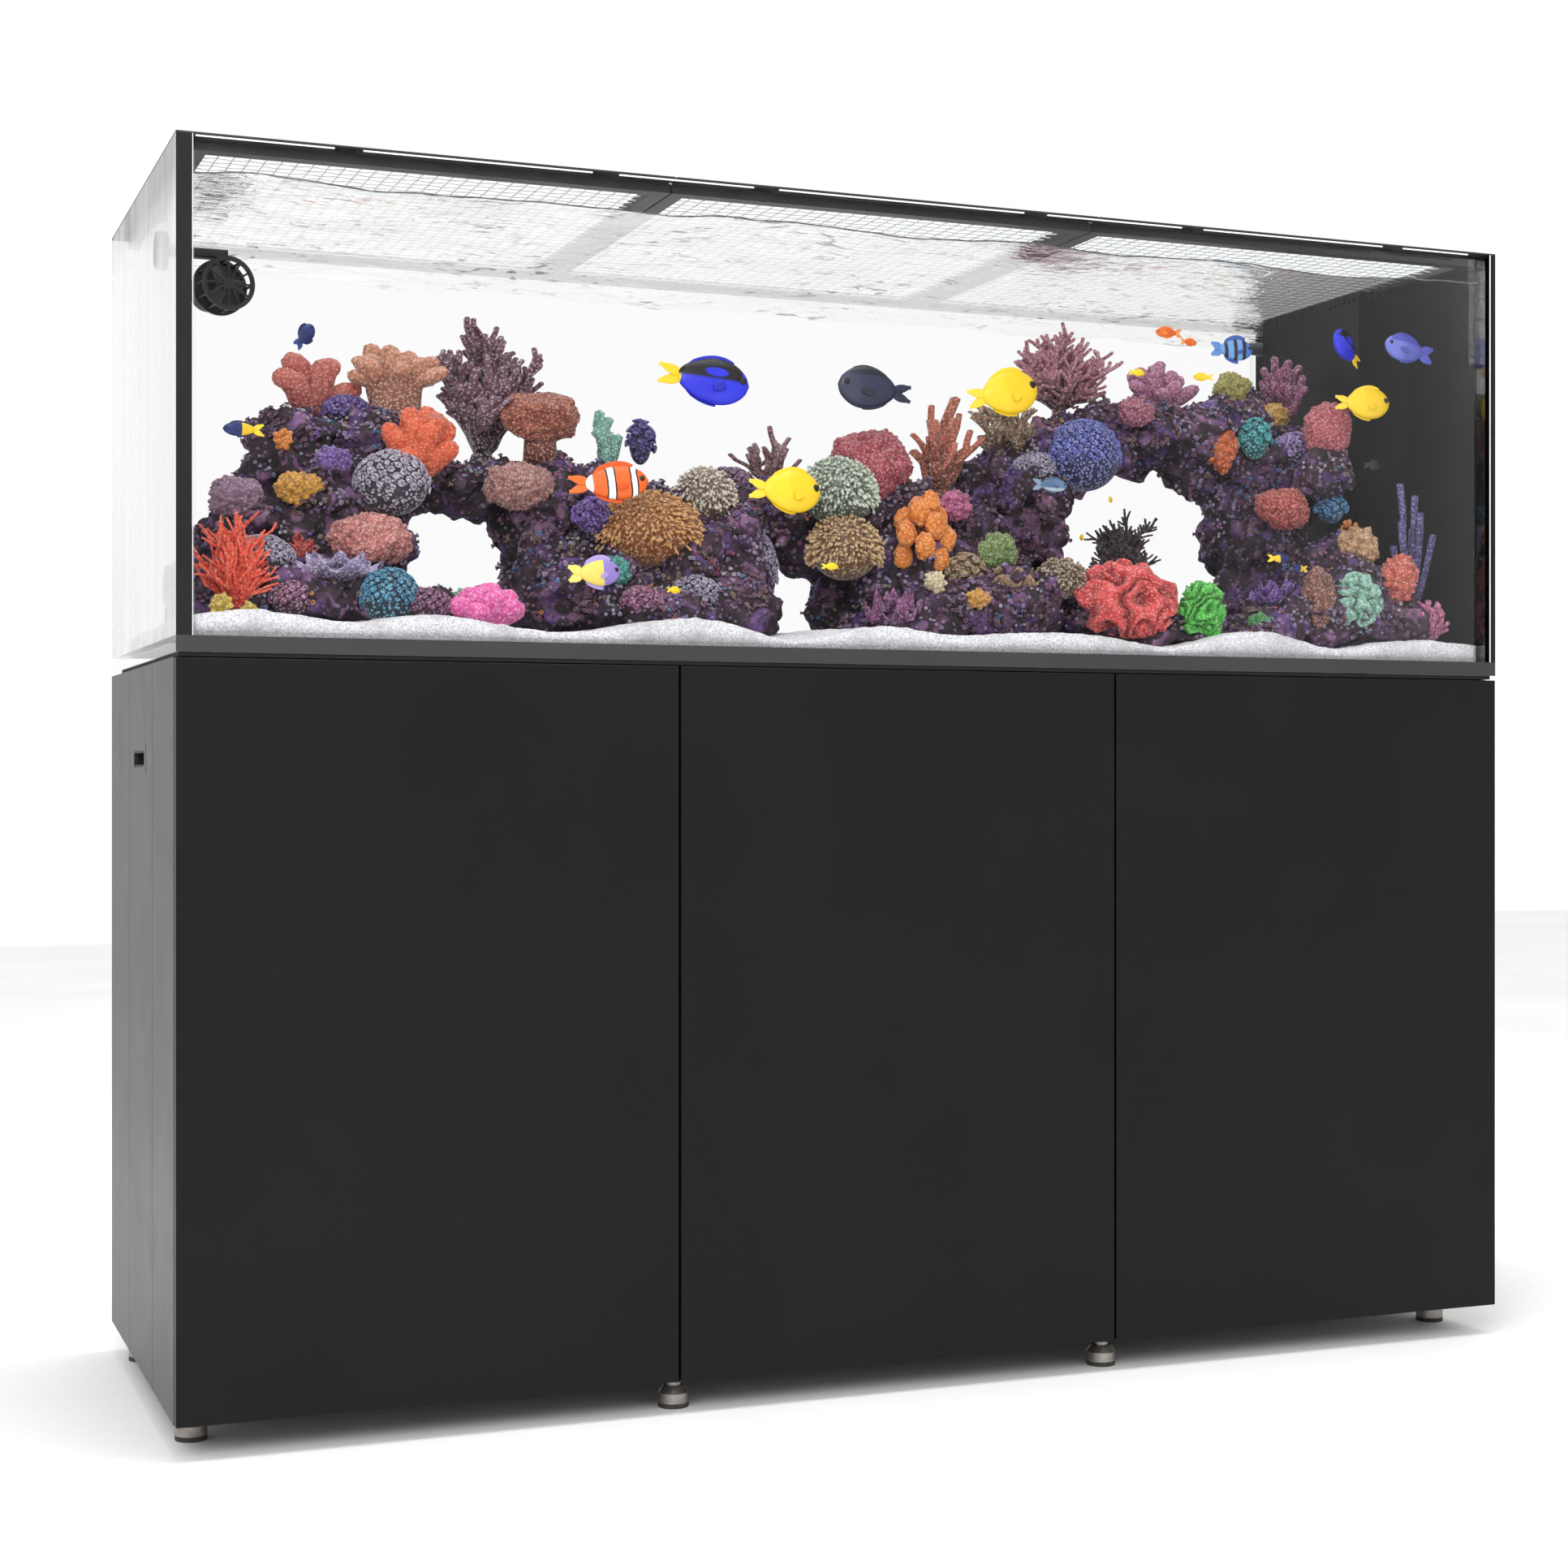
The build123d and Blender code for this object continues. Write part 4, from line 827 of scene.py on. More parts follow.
def anemone(foot, wide, tall, seed, count=170, long=0.032, thick=0.0026, bulb=1.25, droop=0.35, depth=0.8,
            sides=7):
    """Tentacles spread by the golden angle over the upper part of an egg; each arches, droops and ends in a bulb."""
    rng = np.random.default_rng(seed)
    way, turn = golden_spread(count, 1.35)
    core = np.array([wide / 2 - long * 0.75, (wide / 2 - long * 0.75) * depth, tall / 2 - long * 0.4])
    middle = np.array(foot) + (0, 0, tall * 0.48)
    start = middle + way * core * 0.9
    t = np.linspace(0, 1, 7)[None, :, None]
    out = unit(way + 0.35 * rng.normal(size=way.shape)) * long * rng.uniform(0.75, 1.15, (count, 1))
    path = start[:, None] + out[:, None] * t - np.array([0, 0, droop * long]) * t ** 2
    wave = np.stack([np.sin(7 * t[..., 0] + turn[:, None] * 5), np.cos(6 * t[..., 0] + turn[:, None] * 3),
                     0 * t[..., 0] + 0 * turn[:, None]], axis=-1)
    path = path + wave * long * 0.09 * t
    radii = thick * np.array([1.1, 1.0, 0.9, 0.85, 0.9, bulb, bulb * 0.8])
    heart = ball(middle, core, 24, 14)
    # The heart under the tentacles takes the darker root colour: partly own colour, partly painted shade.
    heart["k"] = heart["k"] * 0.2
    return join([heart, tubes(path, radii, sides, np.array([0.0, 0.1, 0.3, 0.45, 0.6, 1.0, 1.0]))])


def plate(foot, wide, tall, seed, waves=7, ruffle=0.18, cup=0.5, lip=0.0035, depth=0.75, layers=1, fine=96):
    """Thin leafy discs, one above another: height grows with the square of the distance out, and the rim is waved
    by a sine round the disc."""
    shells = []
    for layer in range(layers):
        share = 1 - 0.28 * layer
        egg = ball((0, 0, 0), (1, 1, 1), fine, 40)
        way = unit(egg["v"])
        out = np.hypot(way[:, 0], way[:, 1])
        turn = np.arctan2(way[:, 1], way[:, 0])
        edge = 1 + 0.12 * soft_noise(np.stack([3 * np.cos(turn), 3 * np.sin(turn), 0 * turn + layer], axis=-1),
                                     seed)
        lift = cup * out ** 2 + ruffle * out ** 3 * np.sin(waves * turn + 2 * layer + seed)
        egg["v"] = np.stack([way[:, 0] * edge * wide / 2 * share, way[:, 1] * edge * wide / 2 * depth * share,
                             lift * tall * 0.8 + lip * way[:, 2] * (1.3 - out)], axis=-1)
        egg["v"][:, 2] += 0.0007 * np.sin(turn * 60) * out
        egg["v"] = egg["v"] + foot + (0, 0, tall * 0.25 * layer)
        egg["k"] = np.clip(out ** 3 * 1.05, 0, 1)
        shells.append(egg)
    return join(shells)


def studs(start, way, radius, seed, sides=9):
    """Small polyps: short stems flaring into a disc with a dimpled mouth, each along its own direction."""
    rng = np.random.default_rng(seed)
    size = radius * rng.uniform(0.7, 1.25, (len(start), 1))
    along = np.array([-0.3, 0.5, 0.95, 1.15, 1.0])
    path = start[:, None] + unit(way)[:, None] * (size * along)[:, :, None]
    spread = np.array([0.5, 0.6, 1.0, 0.95, 0.35])
    t = np.broadcast_to(np.array([0.0, 0.2, 1.0, 0.8, 0.3]), (len(start), 5))
    turn = np.linspace(0, 2 * np.pi, sides, endpoint=False)
    ahead = unit(way)
    side = unit(np.cross(ahead, np.array([0.31, 0.17, 0.94])))
    up = np.cross(ahead, side)
    circle = side[:, None, None] * np.cos(turn)[:, None] + up[:, None, None] * np.sin(turn)[:, None]
    rings = path[:, :, None] + circle * (size * spread)[:, :, None, None]
    return capped_rings(rings, path[:, 0] - ahead * size * 0.1, path[:, -1] - ahead * size * 0.15, t)


def polyps(foot, wide, tall, seed, count=46, radius=0.006, depth=0.8):
    """Cluster of polyps standing out from a low mound."""
    way = golden_spread(count, 1.2, seed)[0]
    size = np.array([wide / 2 - radius, (wide / 2 - radius) * depth, tall / 2])
    middle = np.array(foot) + (0, 0, tall * 0.45)
    mound = ball(middle, size * 0.95, 28, 16)
    # The mound between the polyps takes the darker root colour: partly own colour, partly painted shade.
    mound["k"] = np.zeros_like(mound["k"])
    return join([mound, studs(middle + way * size * 0.9, way, radius, seed)])


def fingers(foot, wide, tall, seed, count=9, thick=0.006, depth=0.6):
    """Upright blunt fingers from a shared foot."""
    return bush(foot, wide, tall, seed, stems=count, forks=0, levels=0, thick=thick, blunt=0.8, depth=depth,
                lift=0.25, sides=12)


def beads(foot, wide, tall, seed, count=26, depth=0.8):
    """Bulbous lobes piled on one another: balls spread by the golden angle over an egg, each with fine knobs."""
    way = golden_spread(count, 1.6, seed)[0]
    bead = wide * 0.17
    size = np.array([wide / 2 - bead, (wide / 2 - bead) * depth, tall / 2 - bead * 0.8])
    middle = np.array(foot) + (0, 0, tall * 0.48)
    return join([dome(middle + way[i] * size - (0, 0, bead * 0.9), bead * 2, bead * 2, seed + i, knob=0.006,
                      rise=0.0018, fine=22) for i in range(count)])


def lobes(foot, wide, tall, seed, count=9, thick=0.012, trunk=0.0, depth=0.8, reach=0.75):
    """Fleshy colony: thick rounded lobes fan out of a stout foot by the golden angle; the skin is swollen by
    broad noise and pimpled by unit-cell dots."""
    rng = np.random.default_rng(seed)
    crown = np.array(foot, float) + (0, 0, trunk * tall)
    lean = np.sqrt((np.arange(count) + 0.3) / count)
    turn = np.arange(count) * GOLDEN_TURN + seed
    way = np.stack([lean * np.cos(turn) * (wide / 2 - thick), lean * np.sin(turn) * (wide / 2 - thick) * depth,
                    (tall * (1 - trunk) - thick) * (1 - 0.7 * lean ** 2)], axis=-1)
    way *= rng.uniform(0.85, 1.0, (count, 1))
    t = np.linspace(0, 1, 12)
    swell = 0.62 + 0.38 * t ** reach
    swell[-3:] *= (1.0, 0.86, 0.55)
    shell = tubes(grow(np.repeat(crown[None], count, axis=0), way, 12, seed, 0.12), thick * swell, 22, t)
    if trunk:
        post = np.array(foot) + (crown - foot) * np.linspace(-0.2, 1.25, 8)[:, None]
        shell = join([shell, tubes(post, np.linspace(wide * 0.17, wide * 0.2, 8), 22, np.zeros(8))])
    centre = crown + (0, 0, tall * 0.2)
    out = unit(shell["v"] - centre)
    pimples = 0.6 - pit_noise(shell["v"] / 0.0045, seed)
    broad = soft_noise(shell["v"] / 0.02, seed)
    shell["v"] = shell["v"] + out * (0.0012 * pimples + 0.0025 * broad)[:, None]
    # Pimple tops lean to the tip colour and the hollows between them to the darker root colour: partly own colour,
    # partly painted shade.
    shell["k"] = np.clip(0.25 + 0.6 * shell["k"] + 0.35 * pimples, 0, 1)
    return shell


# ---------------------------------------------------------------- the reef's colonies
# Each: shape, name, foot (x, y, z), width, height, root colour, tip colour, polyp colour, shape settings.
# The root colour is a darker shade of the tip colour, worn where the tone is low: at the foot, between knobs, on the
# mound under polyps and on the heart under tentacles; it is partly the coral's own colour and partly painted shade.
LEFT_COLONIES = (
    (lobes, "salmon_lobes", (-0.692, 0.01, 1.252), 0.121, 0.082, "7E3A34", "C8685C", "EDA89A", {"count": 5}),
    (lobes, "peach_tree", (-0.589, -0.01, 1.240), 0.134, 0.112, "7A4836", "CC8A6E", "F8D4BC",
     {"count": 21, "trunk": 0.34, "thick": 0.0115}),
    (bush, "plum_antler", (-0.464, 0.02, 1.19), 0.166, 0.202, "2E1A24", "74485C", "E2D2DC",
     {"stems": 9, "forks": 7, "levels": 2, "thick": 0.0085, "blunt": 0.85, "trunk": 0.12, "lift": 0.35}),
    (dome, "russet_cap", (-0.407, -0.04, 1.195), 0.112, 0.102, "5E2A20", "A85844", "EBA88C",
     {"stalk": 0.3, "knob": 0.0055, "rise": 0.003, "fine": 96}),
    (lobes, "orange_knobs", (-0.581, -0.10, 1.16), 0.096, 0.098, "8A2A14", "E05C34", "FF9C70",
     {"count": 14, "thick": 0.012}),
    (polyps, "lilac_buttons", (-0.622, -0.12, 1.115), 0.100, 0.084, "2E2438", "C4B8D2", "F6F2FA",
     {"count": 120, "radius": 0.0045}),
    (dome, "amber_mound", (-0.739, -0.125, 1.12), 0.065, 0.046, "8A5208", "D8982C", "F0C868", {"knob": 0.007}),
    (dome, "mauve_mound", (-0.812, -0.10, 1.105), 0.070, 0.055, "5A3C50", "A07C94", "C8B0C4", {"knob": 0.006}),
    (dome, "orange_bead", (-0.752, -0.085, 1.195), 0.026, 0.028, "A04A10", "E88A30", "F8B868",
     {"knob": 0.006, "fine": 30}),
    (dome, "salmon_mound", (-0.655, -0.15, 1.045), 0.112, 0.072, "7A3A36", "D0807A", "F8C4B8",
     {"knob": 0.0085, "rise": 0.006, "fine": 96}),
    (bush, "red_whip_fan", (-0.833, -0.20, 0.985), 0.112, 0.122, "C02414", "F4583A", "FF9878",
     {"stems": 60, "forks": 2, "levels": 1, "thick": 0.0024, "blunt": 0.7, "depth": 0.5}),
    (dome, "yellow_ball_one", (-0.850, -0.225, 0.974), 0.030, 0.032, "8A6A14", "D8BC4A", "F4E08A",
     {"knob": 0.006, "fine": 36}),
    (dome, "yellow_ball_two", (-0.818, -0.232, 0.972), 0.024, 0.024, "8A6A14", "D8BC4A", "F4E08A",
     {"knob": 0.005, "fine": 36}),
    (polyps, "blue_buttons", (-0.647, -0.22, 0.97), 0.074, 0.072, "10283C", "3C90BC", "90D8EC",
     {"count": 130, "radius": 0.0034}),
    (plate, "lilac_leaf", (-0.704, -0.18, 1.02), 0.112, 0.042, "3E2E50", "A898C0", "E4DCF0",
     {"ruffle": 0.25, "layers": 2, "lip": 0.009, "cup": 0.3}),
    (lobes, "pink_brain", (-0.526, -0.225, 0.966), 0.102, 0.060, "8A1E58", "EE62B0", "FFB4DC",
     {"count": 12, "thick": 0.013}),
    (dome, "rose_knobs", (-0.448, -0.09, 1.13), 0.100, 0.066, "5A3438", "B88078", "E4BCAE",
     {"knob": 0.007, "rise": 0.005}),
    (polyps, "rose_crust_left", (-0.755, -0.19, 0.98), 0.070, 0.046, "3C1C30", "A06088", "ECC0D8",
     {"count": 90, "radius": 0.004}),
    (bush, "scarlet_twigs", (-0.742, -0.14, 1.03), 0.060, 0.060, "6A1A18", "C04038", "E88878",
     {"thick": 0.0035}),
    (dome, "green_mound_left", (-0.548, -0.20, 0.985), 0.040, 0.036, "1E4A34", "58A07A", "A0E0B8",
     {"knob": 0.006, "fine": 40}),
    (polyps, "violet_crust_left", (-0.655, 0.0, 1.235), 0.070, 0.048, "261A40", "6C50A8", "B8A0E8",
     {"count": 110, "radius": 0.004}),
    (polyps, "frost_crust_left", (-0.790, -0.165, 1.03), 0.080, 0.052, "302838", "A49CB8", "ECE8F4",
     {"count": 110, "radius": 0.0042}),
    (polyps, "plum_crust_left", (-0.605, -0.215, 0.972), 0.080, 0.048, "301828", "885078", "D098C0",
     {"count": 90, "radius": 0.0042}),
    (dome, "violet_crust", (-0.70, -0.135, 1.165), 0.050, 0.034, "3A2458", "7050A0", "B898DC",
     {"knob": 0.006, "fine": 44}),
)
CENTRE_COLONIES = (
    (fingers, "aqua_fingers", (-0.311, -0.03, 1.19), 0.046, 0.088, "3A6A60", "8CC4B4", "D0F0E8", {"count": 8}),
    (polyps, "indigo_buttons", (-0.266, -0.04, 1.205), 0.044, 0.062, "1A1440", "4A3C8C", "9080D0",
     {"count": 26}),
    (anemone, "amber_anemone", (-0.282, -0.12, 1.06), 0.162, 0.105, "8E4E18", "D8A060", "EEC898",
     {"count": 760, "long": 0.016, "thick": 0.0015, "sides": 5}),
    (anemone, "cream_mound", (-0.185, -0.07, 1.120), 0.096, 0.086, "6A5448", "E4D8C8", "F8F0E4",
     {"count": 300, "long": 0.012, "thick": 0.0017, "sides": 5}),
    (polyps, "lilac_boulder", (-0.128, -0.10, 1.0), 0.072, 0.12, "2E2434", "A89CBC", "E4DCEC",
     {"count": 150, "radius": 0.0044}),
    (bush, "brown_twigs", (-0.069, -0.02, 1.165), 0.118, 0.106, "3A2026", "7A5058", "C8A8AC",
     {"stems": 6, "forks": 3, "levels": 1, "thick": 0.0052, "blunt": 0.85, "lift": 0.5}),
    (dome, "crimson_mound", (0.054, -0.06, 1.16), 0.130, 0.108, "5E1C26", "B84858", "EBA0A4",
     {"knob": 0.0065, "rise": 0.005, "fine": 110}),
    (anemone, "olive_mound", (-0.013, -0.12, 1.125), 0.120, 0.095, "4E5A48", "D4DECC", "F0F6EA",
     {"count": 460, "long": 0.012, "thick": 0.0017, "sides": 5}),
    (anemone, "hazel_mound", (-0.013, -0.14, 1.05), 0.116, 0.090, "6A4626", "D0AC7C", "ECD4B4",
     {"count": 420, "long": 0.013, "thick": 0.0017, "sides": 5}),
    (bush, "terracotta_antler", (0.182, -0.03, 1.165), 0.109, 0.158, "5E2A1E", "B8604A", "EFB098",
     {"stems": 7, "forks": 2, "levels": 1, "thick": 0.0066, "blunt": 0.9, "trunk": 0.15, "lift": 0.8}),
    (beads, "orange_chain", (0.105, -0.14, 1.055), 0.089, 0.122, "C0560C", "F4902C", "FFC488", {"count": 15}),
    (dome, "rose_button", (0.158, -0.125, 1.135), 0.049, 0.046, "6E1E48", "C0608C", "E8A0C0",
     {"folds": True, "knob": 0.008, "fine": 48}),
    (dome, "cream_flower", (0.093, -0.20, 1.03), 0.034, 0.032, "8A7458", "E4D2A8", "FFF4D8",
     {"knob": 0.005, "fine": 40}),
    (polyps, "sand_polyps_one", (0.155, -0.165, 1.03), 0.064, 0.062, "5A4430", "A88C68", "D8C4A0",
     {"count": 36}),
    (dome, "moss_dome", (0.201, -0.17, 1.065), 0.062, 0.056, "3A4A24", "7C9454", "B8D08C",
     {"knob": 0.006, "fine": 56}),
    (plate, "tan_leaf", (0.215, -0.18, 1.03), 0.094, 0.042, "5E4A34", "A88A64", "D8C09C", {"layers": 2}),
    (anemone, "cream_dotted_mound", (0.292, -0.18, 1.03), 0.086, 0.060, "4C3C30", "A08870", "F4E8D0",
     {"count": 260, "long": 0.010, "thick": 0.0015, "sides": 5}),
    (dome, "apricot_button", (0.149, -0.215, 1.01), 0.042, 0.030, "8A5A14", "E0A040", "F8D890",
     {"knob": 0.005, "fine": 40}),
    (bush, "wine_twigs", (-0.225, -0.15, 1.02), 0.070, 0.070, "3C1622", "883850", "C87C94", {"thick": 0.0032}),
    (dome, "teal_mound_centre", (-0.345, -0.165, 1.03), 0.052, 0.042, "14504C", "3C9C94", "90E0D4",
     {"knob": 0.006, "fine": 48}),
    (polyps, "frost_crust_centre", (-0.235, -0.165, 0.99), 0.078, 0.060, "302838", "A098B4", "E8E2F0",
     {"count": 110, "radius": 0.0042}),
    (polyps, "rose_crust_centre", (-0.315, -0.19, 0.985), 0.062, 0.046, "3C1C30", "9C5880", "E4B0CC",
     {"count": 80, "radius": 0.0042}),
    (polyps, "plum_crust_centre", (-0.135, -0.03, 1.150), 0.080, 0.060, "2E1A2C", "7C5478", "C8A4C4",
     {"count": 100, "radius": 0.0042}),
    (polyps, "violet_buttons_centre", (-0.36, -0.13, 1.10), 0.060, 0.050, "3A2060", "7C54B4", "C0A0EC",
     {"count": 34, "radius": 0.005}),
    (plate, "plum_ruffle", (0.04, -0.19, 0.985), 0.084, 0.052, "3E1A34", "8C5080", "D0A0C8",
     {"layers": 2, "ruffle": 0.4}),
)
RIGHT_COLONIES = (
    (bush, "mauve_tree", (0.384, 0.01, 1.265), 0.176, 0.176, "4C262E", "B87886", "F0D0D8",
     {"stems": 17, "forks": 6, "levels": 2, "thick": 0.0062, "blunt": 0.85, "trunk": 0.38, "lift": 0.2}),
    (bush, "tan_antler", (0.279, -0.04, 1.215), 0.108, 0.112, "3E2C20", "907058", "F0E6D2",
     {"stems": 9, "forks": 4, "levels": 2, "thick": 0.0052, "blunt": 0.85, "lift": 0.3}),
    (polyps, "periwinkle_mound", (0.371, -0.10, 1.19), 0.115, 0.102, "1C1E50", "6C74D4", "B8C0FF",
     {"count": 240, "radius": 0.0038}),
    (lobes, "pink_leather", (0.542, -0.02, 1.275), 0.122, 0.122, "6A3852", "B87498", "F0C4D8",
     {"count": 15, "thick": 0.0105, "trunk": 0.3, "reach": 1.0}),
    (dome, "lime_mound", (0.665, -0.02, 1.325), 0.069, 0.064, "6A642A", "BCB45C", "E8E49C", {"knob": 0.007}),
    (bush, "magenta_antler", (0.750, -0.01, 1.300), 0.084, 0.118, "4A1C38", "985078", "E8BCD4",
     {"stems": 8, "forks": 5, "levels": 1, "thick": 0.0078, "blunt": 1.0, "lift": 0.3}),
    (dome, "rust_knobs", (0.599, -0.09, 1.225), 0.057, 0.080, "7A2A0A", "D8642C", "FFA878",
     {"knob": 0.008, "rise": 0.006, "fine": 80}),
    (polyps, "teal_knobs", (0.652, -0.10, 1.248), 0.058, 0.062, "0E5058", "34B0B8", "98ECEC", {"count": 30}),
    (dome, "ochre_mound", (0.704, -0.07, 1.295), 0.052, 0.044, "7A5414", "C89A40", "ECCC84",
     {"knob": 0.006, "fine": 50}),
    (dome, "coral_red_mound", (0.742, -0.15, 1.248), 0.080, 0.084, "6E2228", "C4606A", "F0A0A8",
     {"knob": 0.006, "rise": 0.004, "fine": 90}),
    (dome, "red_button_mound", (0.672, -0.14, 1.142), 0.082, 0.062, "641818", "BC5048", "F09C90",
     {"knob": 0.006, "rise": 0.004, "fine": 90}),
    (polyps, "blue_buttons_right", (0.755, -0.14, 1.155), 0.054, 0.048, "163C64", "4490C8", "98D4F4",
     {"count": 34, "radius": 0.005}),
    (beads, "orange_drops", (0.776, -0.155, 1.132), 0.030, 0.030, "9A4A10", "E88838", "FFC888", {"count": 8}),
    (dome, "tan_polyps", (0.767, -0.19, 1.085), 0.068, 0.064, "6A4A30", "CC9C70", "F4D8B4",
     {"knob": 0.010, "rise": 0.008, "fine": 90}),
    (dome, "salmon_knobs", (0.813, -0.225, 1.035), 0.064, 0.072, "8A3024", "E06C58", "FFB4A4",
     {"knob": 0.009, "rise": 0.008, "fine": 90}),
    (bush, "violet_whips", (0.858, -0.20, 1.02), 0.070, 0.192, "2C2048", "54468A", "A498DC",
     {"stems": 8, "forks": 0, "levels": 0, "thick": 0.0028, "blunt": 1.0, "depth": 0.8, "lift": 0.9,
      "wander": 0.02, "sides": 10}),
    (bush, "rose_tips", (0.849, -0.250, 0.975), 0.052, 0.066, "5E2444", "B85888", "F8C0D8",
     {"stems": 24, "forks": 3, "levels": 1, "thick": 0.0034, "blunt": 1.2}),
    (dome, "mint_cluster", (0.733, -0.235, 0.99), 0.080, 0.088, "2E5444", "90C4B0", "DCF6EC",
     {"folds": True, "knob": 0.013, "rise": 0.010, "fine": 96}),
    (dome, "maroon_column", (0.678, -0.225, 0.985), 0.058, 0.100, "40201E", "8A5448", "D8A898",
     {"knob": 0.006, "rise": 0.004, "fine": 80}),
    (dome, "green_frill", (0.480, -0.24, 0.972), 0.072, 0.086, "144A12", "48C040", "A8F490",
     {"folds": True, "knob": 0.014, "rise": 0.010, "fine": 100}),
    (dome, "scarlet_frill", (0.375, -0.21, 0.970), 0.148, 0.116, "7A141E", "E04C4C", "FFA8A0",
     {"folds": True, "knob": 0.024, "rise": 0.014, "fine": 130}),
    (bush, "dark_arch_bush", (0.511, 0.03, 1.06), 0.124, 0.124, "1E1418", "504048", "8C7880",
     {"stems": 16, "forks": 6, "levels": 2, "thick": 0.0034, "blunt": 0.9}),
    (polyps, "lilac_crust_right", (0.721, -0.10, 1.235), 0.080, 0.058, "30203C", "9C80C8", "DCCCF4",
     {"count": 110, "radius": 0.0042}),
    (polyps, "violet_crust_top", (0.615, -0.05, 1.300), 0.060, 0.040, "2A1C38", "8468B0", "CCB8EC",
     {"count": 90, "radius": 0.004}),
    (polyps, "frost_crust_arch", (0.300, -0.09, 1.195), 0.070, 0.050, "2E2838", "A8A0BC", "ECE6F4",
     {"count": 110, "radius": 0.0042}),
    (bush, "pink_nubs_right", (0.600, -0.22, 0.975), 0.050, 0.050, "5A2A50", "A86CA0", "ECC8E8",
     {"stems": 14, "forks": 3, "levels": 1, "thick": 0.004, "blunt": 1.0}),
    (dome, "rose_crust_right", (0.46, -0.095, 1.285), 0.060, 0.046, "5E2838", "A85C74", "DCA0B4",
     {"knob": 0.007, "fine": 50}),
    (plate, "violet_leaf", (0.63, -0.19, 1.02), 0.080, 0.046, "3A2454", "7854A0", "BCA0DC", {"layers": 2}),
    (dome, "green_button_right", (0.585, -0.225, 0.985), 0.044, 0.034, "1A4A24", "4CA058", "98E09C",
     {"knob": 0.005, "fine": 44}),
)


def make_colonies():
    """Every colony becomes one piece, stretched to its own width and height, with a skin in its own three colours;
    no point lies deeper in the sand than CORAL_BURIED."""
    for number, row in enumerate(LEFT_COLONIES + CENTRE_COLONIES + RIGHT_COLONIES):
        shape, name, foot, wide, tall, root, tip, speck, options = row
        shell = shape(foot, wide, tall, number + 3, **options)
        low, high = shell["v"].min(axis=0), shell["v"].max(axis=0)
        middle = np.array([(low[0] + high[0]) / 2, (low[1] + high[1]) / 2, low[2]])
        fit = np.array([wide, min(high[1] - low[1], wide * 0.9), tall]) / (high - low)
        shell["v"] = (shell["v"] - middle) * fit + foot
        shell["v"][:, 2] = np.maximum(shell["v"][:, 2], SAND_TOP - CORAL_BURIED)
        skin = coral_skin(name + "_skin", root, tip, speck)
        make_piece(name, shell, skin)


# Each: name, root, tip and polyp colours, least patch noise, and how far the points are thinned out.
# The darker root colour, at the stems of the polyps, is partly their own colour and partly painted shade.
BUTTON_COLOURS = (
    ("violet", "2C1C48", "6A48A0", "B098E0", 0.20, 5), ("lilac", "4C4058", "A090B8", "DCD0EC", 0.24, 6),
    ("plum", "2C1624", "6C3C5C", "B07CA0", 0.10, 5), ("frost", "6C6474", "C4BCCC", "F4F0FA", 0.36, 6),
    ("rose", "4C1C34", "A04C78", "E498C0", 0.46, 10), ("fawn", "3C2C26", "7C6454", "C0AC98", 0.42, 9),
    ("leaf", "1C3C2C", "4C8C60", "98D8A4", 0.74, 14), ("amber", "6A3408", "D8842C", "FFC878", 0.80, 14),
    ("sky", "162C4C", "4078B0", "90C8F0", 0.66, 14), ("brick", "4C1C18", "A04840", "E08C7C", 0.66, 12),
)


def make_buttons(rocks):
    """Small polyps in patches over the faces of the stone that look forward, outward or up, one piece per colour.
    A patch is where a colour's own soft noise passes its least value; only one point in "thin" carries a polyp."""
    for number, (name, root, tip, speck, least, thin) in enumerate(BUTTON_COLOURS):
        starts, ways = [], []
        for rock in rocks:
            count = len(rock.data.vertices)
            points, normals = np.zeros(count * 3), np.zeros(count * 3)
            rock.data.vertices.foreach_get("co", points)
            rock.data.vertices.foreach_get("normal", normals)
            points, normals = points.reshape(-1, 3), normals.reshape(-1, 3)
            outward = normals @ np.array([-0.35, -0.75, 0.55])
            patch = rough_noise(points * 21 + 40 * number, 2, 60 + number)
            chosen = np.flatnonzero((outward > 0.1) & (patch > least) & (points[:, 2] > SAND_TOP + 0.012))
            picked = np.random.default_rng(number).permutation(chosen)[:len(chosen) // thin]
            starts.append(points[picked])
            ways.append(normals[picked])
        starts, ways = np.concatenate(starts), np.concatenate(ways)
        shell = studs(starts, ways, 0.0024 + 0.0004 * (number % 3), number, sides=7)
        make_piece("buttons_" + name, shell, coral_skin(name + "_buttons", root, tip, speck, size=500.0))


# ---------------------------------------------------------------- fish
def blade(path, height, ratio=9.0, tone=1.5):
    """Thin fin along a path, its height given at each point; every point carries one tone."""
    made = tubes(np.array(path), np.asarray(height) / 2 / ratio, 10, None, ratio)
    made["k"] = np.full(len(made["v"]), tone)
    return made


